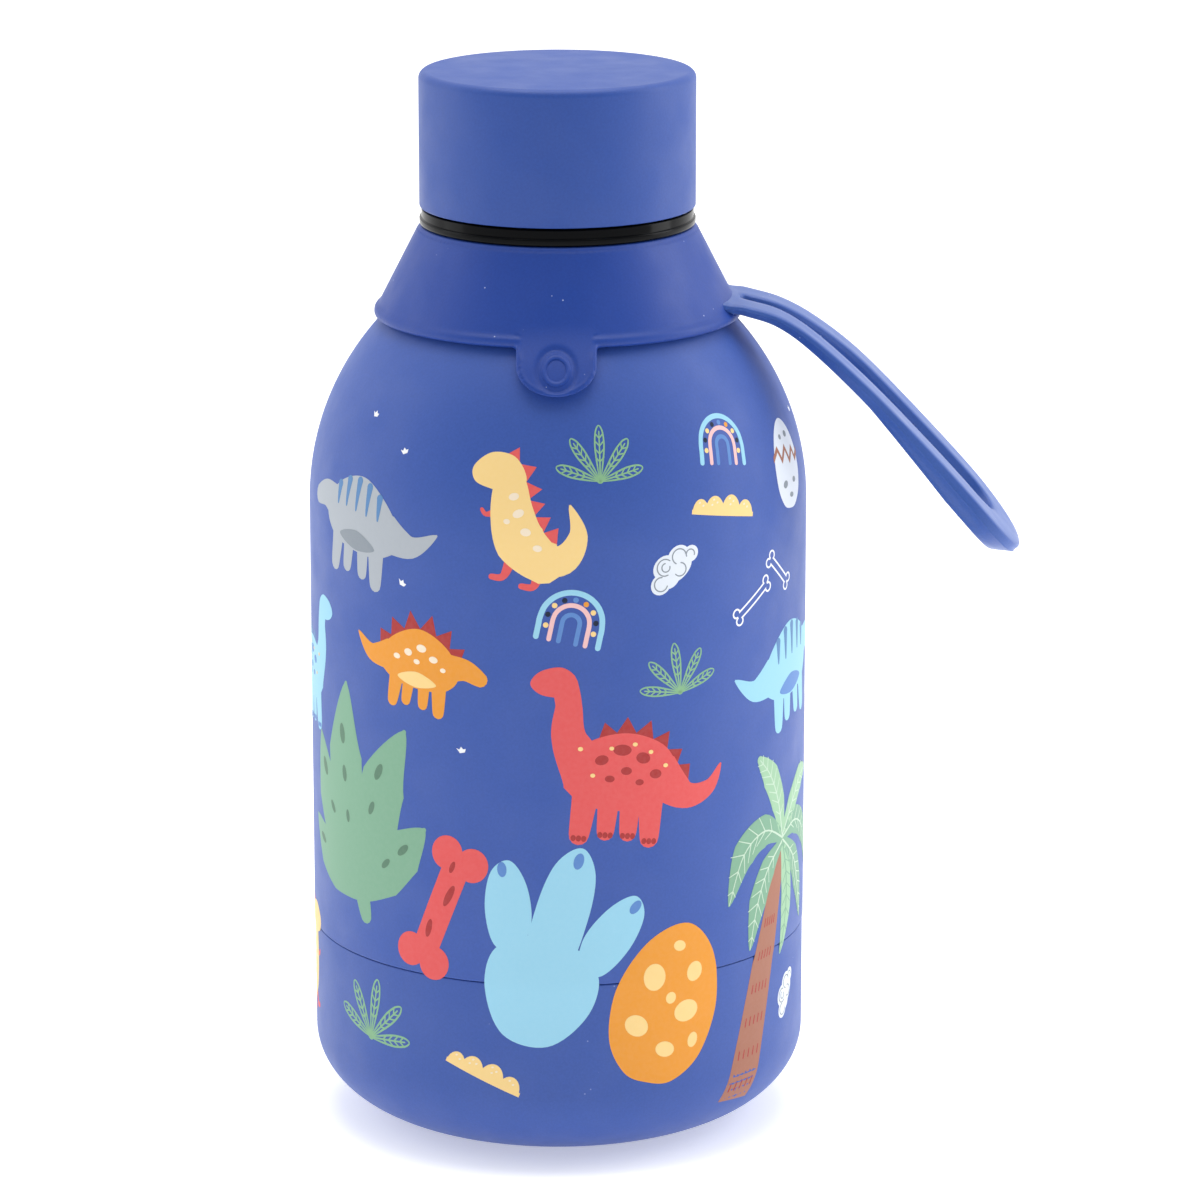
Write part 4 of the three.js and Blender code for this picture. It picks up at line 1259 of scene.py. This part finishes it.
TAB_TOP_Z = 126.6  # the tab's upper end, inside the cone
COLLAR_VOXEL = 0.25
COLLAR_SMOOTHING = 2  # rounds
SNAP = 0.16  # a melted point this near its true surface is put back on it
SOFT_EDGE = 0.7  # the stretch along each edge that stays as the melting left it
HOLLOW_DEPTH = 1.1  # reach of the soft hollow between the tab's face and the cone
HOLLOW_HALF = 7.4  # how far it runs to each side
HOLLOW_FADE = 2.4  # over which it dies away there
HOLLOW_LOW_Z = 121.8
HOLLOW_HIGH_Z = 128.4
HOLLOW_SNAP = 0.4
PRESS_DEPTH = 0.3  # the ring pressed into the tab
PRESS_HALF = 0.38
TAB_LIP = 0.16  # the raised line along the tab's edge
TAB_LIP_HALF = 0.45
TAB_LIP_FADE = 1.2  # over which it dies away below the rim


def add_collar():
    """Cone and front tab, melted together so that every edge is softly rounded."""
    inner = eased(shoulder_to_bead(GAP, 60), 3)
    inner = [point for point in inner if point[1] > RIM_UNDER_Z]
    cone = [
        (RIM_R, RIM_UNDER_Z), (RIM_R + RIM_LIP, RIM_UNDER_Z + 0.3), (RIM_R + RIM_LIP, RIM_Z - 0.35),
        (RIM_R + RIM_LIP - 0.15, RIM_Z), (cone_radius(RIM_Z + 0.5), RIM_Z + 0.5),
        (COLLAR_TOP_R, COLLAR_TOP_Z - 0.2), (COLLAR_TOP_R - 0.2, COLLAR_TOP_Z),
        (NECK_R + GAP, COLLAR_TOP_Z), *reversed(inner),
    ]
    skirt = turned(cone)
    arc_z = TAB_BOTTOM_Z + TAB_ARC_H
    bottom = ellipse(0, arc_z, TAB_HALF, TAB_ARC_H, 180, 360, 40)
    tab_outline = polygon((TAB_HALF, arc_z + 0.3), (TAB_HALF, TAB_TOP_Z), (-TAB_HALF, TAB_TOP_Z),
                          (-TAB_HALF, arc_z + 0.3), pitch=0.4) + bottom
    flat, triangles = filled([tab_outline], [], pitch=0.5)
    tab_points, _, tab_faces = slab(flat, triangles, on_tab, GAP, GAP + TAB_THICK)
    parts = joined(skirt, (tab_points.tolist(), tab_faces))
    piece = add_piece("collar", *parts, "silicone", None, "blue_silicone", ["silicone_collar"])
    melt(piece, COLLAR_VOXEL, COLLAR_SMOOTHING)
    settle_collar(piece)
    piece.data.set_sharp_from_angle(angle=math.pi)
    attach(piece, "collar")


def melt(piece, voxel, rounds):
    """Joins the skins of a piece into one by a voxel remesh and softens it a little."""
    remesh = piece.modifiers.new("remesh", "REMESH")
    remesh.mode = "VOXEL"
    remesh.voxel_size = voxel * MM
    remesh.use_smooth_shade = True
    smooth = piece.modifiers.new("smooth", "SMOOTH")
    smooth.factor = 0.5
    smooth.iterations = rounds
    apply_modifiers(piece)


def apply_modifiers(piece):
    """Writes a piece's modifiers into its mesh."""
    graph = bpy.context.evaluated_depsgraph_get()
    mesh = bpy.data.meshes.new_from_object(piece.evaluated_get(graph))
    piece.modifiers.clear()
    piece.data = mesh


def settle_collar(piece):
    """Puts the melted collar's smooth stretches on their true surfaces and presses the tab's ring."""
    mesh = piece.data
    co = np.zeros(len(mesh.vertices) * 3)
    mesh.vertices.foreach_get("co", co)
    co = co.reshape(-1, 3) / MM

    def to_radius(chosen, wanted):
        scale = np.where(chosen, wanted / np.maximum(np.hypot(co[:, 0], co[:, 1]), 1), 1.0)
        co[:, 0] *= scale
        co[:, 1] *= scale

    z = co[:, 2]
    radius = np.hypot(co[:, 0], co[:, 1])
    cone = cone_radius(z)
    to_radius((abs(radius - cone) < SNAP) & (z > RIM_Z + SOFT_EDGE) & (z < COLLAR_TOP_Z - SOFT_EDGE), cone)
    arc_z = TAB_BOTTOM_Z + TAB_ARC_H
    below = np.maximum(arc_z - z, 0)
    inside = (co[:, 0] / (TAB_HALF - SNAP * 3)) ** 2 + (below / (TAB_ARC_H - SNAP * 3)) ** 2 < 1
    inside &= co[:, 1] < 0
    face = tab_radius(z)
    to_radius(inside & (abs(radius - face) < SNAP * 2) & (z < RIM_Z - SOFT_EDGE), face)

    # The tab's face runs on into the cone, through a soft hollow that fades out to both sides.
    spread = HOLLOW_DEPTH * np.clip((HOLLOW_HALF - abs(co[:, 0])) / HOLLOW_FADE, 0, 1)
    outer = np.maximum(cone, face)
    share = np.clip(1 - abs(cone - face) / np.maximum(spread, 1e-6), 0, 1)
    near = (co[:, 1] < 0) & (spread > 0) & (abs(radius - outer) < HOLLOW_SNAP)
    near &= (z > HOLLOW_LOW_Z) & (z < HOLLOW_HIGH_Z)
    near &= inside | (z > RIM_Z + SOFT_EDGE)
    to_radius(near, outer + share ** 2 * spread / 4)

    # A ring is pressed into the tab, and a fine lip runs along its edge.
    front_view = co[:, [0, 2]].clip((-TAB_HALF, TAB_BOTTOM_Z), (TAB_HALF, 130))
    places, normals = on_tab(front_view, GAP + TAB_THICK)
    off = ((co - places) * normals).sum(1)
    reach = np.hypot(co[:, 0], z - TAB_RING_Z)
    groove = np.exp(-((reach - TAB_RING_R - 0.1) / PRESS_HALF) ** 2) * -PRESS_DEPTH
    pressed = inside & (abs(off) < SNAP * 1.5) & (z < RIM_Z)
    co[pressed] += normals[pressed] * groove[pressed][:, None]
    oval_share = np.sqrt((co[:, 0] / TAB_HALF) ** 2 + (below / TAB_ARC_H) ** 2)
    lip = TAB_LIP * np.exp(-((1 - oval_share) * TAB_HALF / TAB_LIP_HALF - 1) ** 2)
    lip *= np.clip((RIM_UNDER_Z - z) / TAB_LIP_FADE, 0, 1) * pressed
    co += normals * lip[:, None]
    mesh.vertices.foreach_set("co", (co * MM).ravel())
    mesh.update()


def add_tab_ring():
    """The raised ring on the tab, a half-round bead that follows the tab's face."""
    ring_r, half, height = 1.75, 0.36, 0.22
    around, across = 96, 10
    points, faces = [], []
    for i in range(around):
        angle = 2 * math.pi * i / around
        for k in range(across):
            turn = 2 * math.pi * k / across
            reach = ring_r + half * math.cos(turn)
            flat = np.array([[reach * math.cos(angle), TAB_RING_Z + reach * math.sin(angle)]])
            place, _ = on_tab(flat, GAP + TAB_THICK + height * math.sin(turn))
            points.append(tuple(place[0]))
    for i in range(around):
        for k in range(across):
            j, m = (i + 1) % around, (k + 1) % across
            faces.append((i * across + k, j * across + k, j * across + m, i * across + m))
    add_piece("tab_ring", points, outward(points, faces), "silicone", "collar", "blue_silicone")


add_collar()
add_tab_ring()


# ---- strap ----
def arc_length_curve(points, samples=2400):
    """Closely spaced points along a smooth curve, and their distances along it."""
    line = np.array(spline(points, False, samples // (len(points) - 1)))
    lengths = np.concatenate([[0], np.cumsum(np.hypot(*np.diff(line, axis=0).T))])
    return line, lengths


STRAP_LINE, STRAP_LENGTHS = arc_length_curve(STRAP_PATH)
STRAP_LENGTH = float(STRAP_LENGTHS[-1])
ROOT_REACH = 3.2  # how far the strap's root runs back into the collar
ROOT_LEVEL = 2.2  # the stretch behind the root over which the strap levels out
ROOT_END_R = 25.3  # radius at which the root ends, inside the cone
ROOT_SINK = 1  # from this far behind the root the strap sinks into the cone
ROOT_STEPS = 16
ROOT_STRETCH = 3  # where the root's finer stations end
STRAND_STEPS = 60
SLOT_FOOT = 0.3  # the slot closes this far behind the root
TIP_STEPS = 56
TIP_BEND = 0.8  # below 1 the tip is squarer than an ellipse
TIP_TRIM = 0.13  # what the squarer tip would stand past its length
FLARE_REACH = 1.1  # the strap flares out where it is this near the cone
FLARE_START_R = 26.3
FLARE_RISE = 0.28
FLARE_OUT = 0.5  # how much of the rise the strap's outer edge widens by
FLARE_BEND = 2.2
RIDGE = 0.1  # the parting ridge


def strap_at(s):
    """Centre (x, z) and unit direction of the strap's top at a distance from its root."""
    if s < 0:
        fall = (STRAP_LINE[0][1] - STRAP_LINE[8][1]) / (STRAP_LINE[8][0] - STRAP_LINE[0][0])
        back = min(-s, ROOT_LEVEL)
        rise = fall * back * (1 - back / ROOT_LEVEL / 2)
        direction = np.array([1.0, -fall * (1 - back / ROOT_LEVEL)])
        return STRAP_LINE[0] + np.array([s, rise]), direction / np.linalg.norm(direction)
    place = np.array([np.interp(s, STRAP_LENGTHS, STRAP_LINE[:, k]) for k in (0, 1)])
    low, high = max(0.0, s - 0.4), min(STRAP_LENGTH, s + 0.4)
    ends = [np.array([np.interp(t, STRAP_LENGTHS, STRAP_LINE[:, k]) for k in (0, 1)]) for t in (low, high)]
    direction = ends[1] - ends[0]
    return place, direction / np.linalg.norm(direction)


def smooth_step(value, low, high):
    """A share from 0 to 1 that eases in and out between two values."""
    share = min(1.0, max(0.0, (value - low) / (high - low)))
    return share * share * (3 - 2 * share)


def strap_half(s):
    """Half of the strap's width at a distance from its root."""
    return STRAP_HALF_ROOT + (STRAP_HALF - STRAP_HALF_ROOT) * smooth_step(s, *STRAP_GROW)


def strap_thickness(s):
    """The strap's thickness at a distance from its root."""
    return float(np.interp(s, *zip(*STRAP_THICK)))


def strap_stations():
    """Stations round the loop: a point of the slot's edge, a point of the outer edge, and a draft."""
    tip_from = STRAP_LENGTH - TIP_LENGTH
    slot_tip = STRAP_LENGTH - STRAND - tip_from
    lengths = [-ROOT_REACH + (ROOT_REACH + ROOT_STRETCH) * i / ROOT_STEPS for i in range(ROOT_STEPS)]
    lengths += [ROOT_STRETCH + (tip_from - ROOT_STRETCH) * i / STRAND_STEPS for i in range(STRAND_STEPS)]
    far = []
    for s in lengths:
        half = strap_half(max(s, 0))
        slot_half = half - STRAND
        inner_s = s
        if s < -SLOT_FOOT:
            turn = math.pi / 2 * (-SLOT_FOOT - s) / (ROOT_REACH - SLOT_FOOT)
            inner_s = -SLOT_FOOT - math.sin(turn)
            slot_half *= max(0.02, math.cos(turn))
        far.append(((inner_s, slot_half), (s, half), STRAP_DRAFT))
    tip = []
    for i in range(TIP_STEPS + 1):
        angle = math.pi / 2 - math.pi * i / TIP_STEPS
        c, s = math.cos(angle), math.sin(angle)
        slot_edge = (tip_from + slot_tip * c, (STRAP_HALF - STRAND) * s)
        outer_s = tip_from + (TIP_LENGTH - TIP_TRIM) * abs(c) ** TIP_BEND
        outer_edge = (outer_s, STRAP_HALF * math.copysign(abs(s) ** TIP_BEND, s))
        tip.append((slot_edge, outer_edge, STRAP_DRAFT + (STRAP_END_DRAFT - STRAP_DRAFT) * abs(c)))
    near = [((inner[0], -inner[1]), (outer[0], -outer[1]), draft) for inner, outer, draft in reversed(far)]
    return far + tip + near


def strand_section(thickness, draft):
    """A strand's outline as (share across, shift, depth) points.

    It has rounded shoulders, a parting ridge on both sides and drafted flanks below it.
    """
    parting = thickness * PARTING
    inner_draft = STRAP_DRAFT * 0.5
    corner = [(0.0, 0.42), (0.05, 0.24), (0.16, 0.1), (0.36, 0.0)]
    section = [(0, shift, depth) for shift, depth in corner]
    section += [(share, 0, 0) for share in (0.25, 0.5, 0.75)]
    section += [(1, -shift, depth) for shift, depth in reversed(corner)]
    section += [
        (1, 0, parting - 0.16), (1, RIDGE, parting - 0.04), (1, RIDGE, parting + 0.06),
        (1, -0.1, parting + 0.2),
        (1, -draft * 0.6, parting + (thickness - parting) * 0.6),
        (1, -draft + 0.05, thickness - 0.18), (1, -draft - 0.2, thickness),
        (0.5, 0, thickness),
        (0, inner_draft + 0.2, thickness), (0, inner_draft - 0.05, thickness - 0.18),
        (0, 0.1, parting + 0.2), (0, -RIDGE * 0.6, parting + 0.05), (0, -RIDGE * 0.6, parting - 0.05),
        (0, 0, parting - 0.16),
    ]
    return section


def strap_point(s, y, depth, thickness, outer):
    """A point of the strap, which sinks into the collar's cone at its root and flares out against it."""
    centre, direction = strap_at(min(s, STRAP_LENGTH))
    x = centre[0] + direction[1] * depth
    z = centre[1] - direction[0] * depth
    if s < -ROOT_SINK:
        sunk = (-ROOT_SINK - s) / (ROOT_REACH - ROOT_SINK)
        x = (STRAP_ROOT_X - ROOT_SINK) * (1 - sunk) + math.sqrt(ROOT_END_R ** 2 - y ** 2) * sunk
    close = FLARE_REACH - (math.hypot(x, y) - FLARE_START_R)
    if close > 0:
        rise = FLARE_RISE * (min(close, FLARE_REACH) / FLARE_REACH) ** FLARE_BEND
        z += rise * (1 - 1.6 * depth / thickness)
        if outer:
            y += math.copysign(FLARE_OUT * rise, y)
    return x, y, z


def add_strap():
    """The strap's loop, swept round its slot, which bends between the collar and the strap's body."""
    stations = strap_stations()
    section_size = len(strand_section(1.0, 0.0))
    points, faces = [], []
    for inner, outer, draft in stations:
        width = math.dist(inner, outer)
        thickness = strap_thickness(max(outer[0], 0))
        for across, shift, depth in strand_section(thickness, draft):
            share = across + shift / width
            s = inner[0] + (outer[0] - inner[0]) * share
            y = inner[1] + (outer[1] - inner[1]) * share
            points.append(strap_point(s, y, depth, thickness, across == 1))
    count = len(stations)
    for i in range(count):
        j = (i + 1) % count
        for k in range(section_size):
            m = (k + 1) % section_size
            here, there = i * section_size, j * section_size
            faces.append((here + k, here + m, there + m, there + k))
    points = turned_about_z(points, STRAP_YAW)
    piece = add_piece("strap", points, outward(points, faces), "strap", None, "blue_silicone",
                      ["carry_strap"], sharp=60)
    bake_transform(piece)


add_strap()


# ---- stage, light and camera ----
FLOOR_TONES = ((0.92, 0.92, 0.92, 1), (0.95, 0.95, 0.95, 1))
FLOOR_GLOW = 0.42
FRONT_GLOW, REAR_GLOW = 0.42, 1.0  # strength of the surroundings in front of and behind the bottle
LIGHT_TARGET = (0.0, 0.0, 0.08)
CAMERA_LENS = 167.6
CAMERA_SENSOR = 36.0
CAMERA_PLACE = (0.00632, -0.82106, 0.28629)
CAMERA_TILT = 75.834  # degrees up from straight down


def add_floor():
    """A plain pale floor with a faint unevenness in its tone."""
    mesh = bpy.data.meshes.new("floor")
    reach = 12.0  # metres
    drop = -0.0002  # just under the resting face
    corners = [(x * reach, y * reach, drop) for x, y in ((-1, -1), (1, -1), (1, 1), (-1, 1))]
    mesh.from_pydata(corners, [], [(0, 1, 2, 3)])
    made, tree, shader, place = new_material("pale_floor")
    fill(tree, shader, {
        "Base Color": mixed(tree, noise(tree, place, 3, 2), *FLOOR_TONES),
        "Roughness": 0.9,
        "Specular IOR Level": 0.1,
        "Emission Color": (1, 1, 1, 1),
        "Emission Strength": FLOOR_GLOW,
    })
    mesh.materials.append(made)
    floor = bpy.data.objects.new("floor", mesh)
    bpy.context.scene.collection.objects.link(floor)


def add_area_light(name, place, target, size, power):
    """A soft white panel that faces a point. Places are in metres, power in watts."""
    lamp = bpy.data.lights.new(name, "AREA")
    lamp.shape = "RECTANGLE"
    lamp.size, lamp.size_y = size
    lamp.energy = power
    panel = bpy.data.objects.new(name, lamp)
    panel.location = place
    panel.rotation_euler = (Vector(target) - Vector(place)).to_track_quat("-Z", "Y").to_euler()
    bpy.context.scene.collection.objects.link(panel)


def add_world(front, rear):
    """White surroundings, dimmer in front of the bottle than behind it, and plain white to look at."""
    world = bpy.data.worlds.new("studio")
    world.use_nodes = True
    tree = world.node_tree
    heading = add_node(tree, "TexCoord", "Generated", {})
    depth = add_node(tree, "SeparateXYZ", "Y", {"Vector": heading})
    glow = ranged(tree, depth, (-0.8, 0.3), (front, rear))
    seen = add_node(tree, "LightPath", "Is Camera Ray", {})
    strength = add_node(tree, "Mix", "Result", {"Factor": seen, "A": glow, "B": 1.0})
    fill(tree, tree.nodes["Background"], {"Color": (1, 1, 1, 1), "Strength": strength})
    bpy.context.scene.world = world


add_floor()
add_world(FRONT_GLOW, REAR_GLOW)
add_area_light("top_panel", (0.0, 0.1, 0.9), LIGHT_TARGET, (0.7, 0.7), 4.5)
add_area_light("right_panel", (0.8, 0.1, 0.4), LIGHT_TARGET, (0.4, 0.8), 3.0)
add_area_light("left_panel", (-0.8, 0.1, 0.4), LIGHT_TARGET, (0.4, 0.8), 1.2)

camera_data = bpy.data.cameras.new("camera")
camera_data.lens = CAMERA_LENS
camera_data.sensor_width = CAMERA_SENSOR
camera = bpy.data.objects.new("camera", camera_data)
camera.location = CAMERA_PLACE
camera.rotation_euler = (math.radians(CAMERA_TILT), 0, 0)
bpy.context.scene.collection.objects.link(camera)
bpy.context.scene.camera = camera
bpy.context.scene.view_settings.view_transform = "Standard"
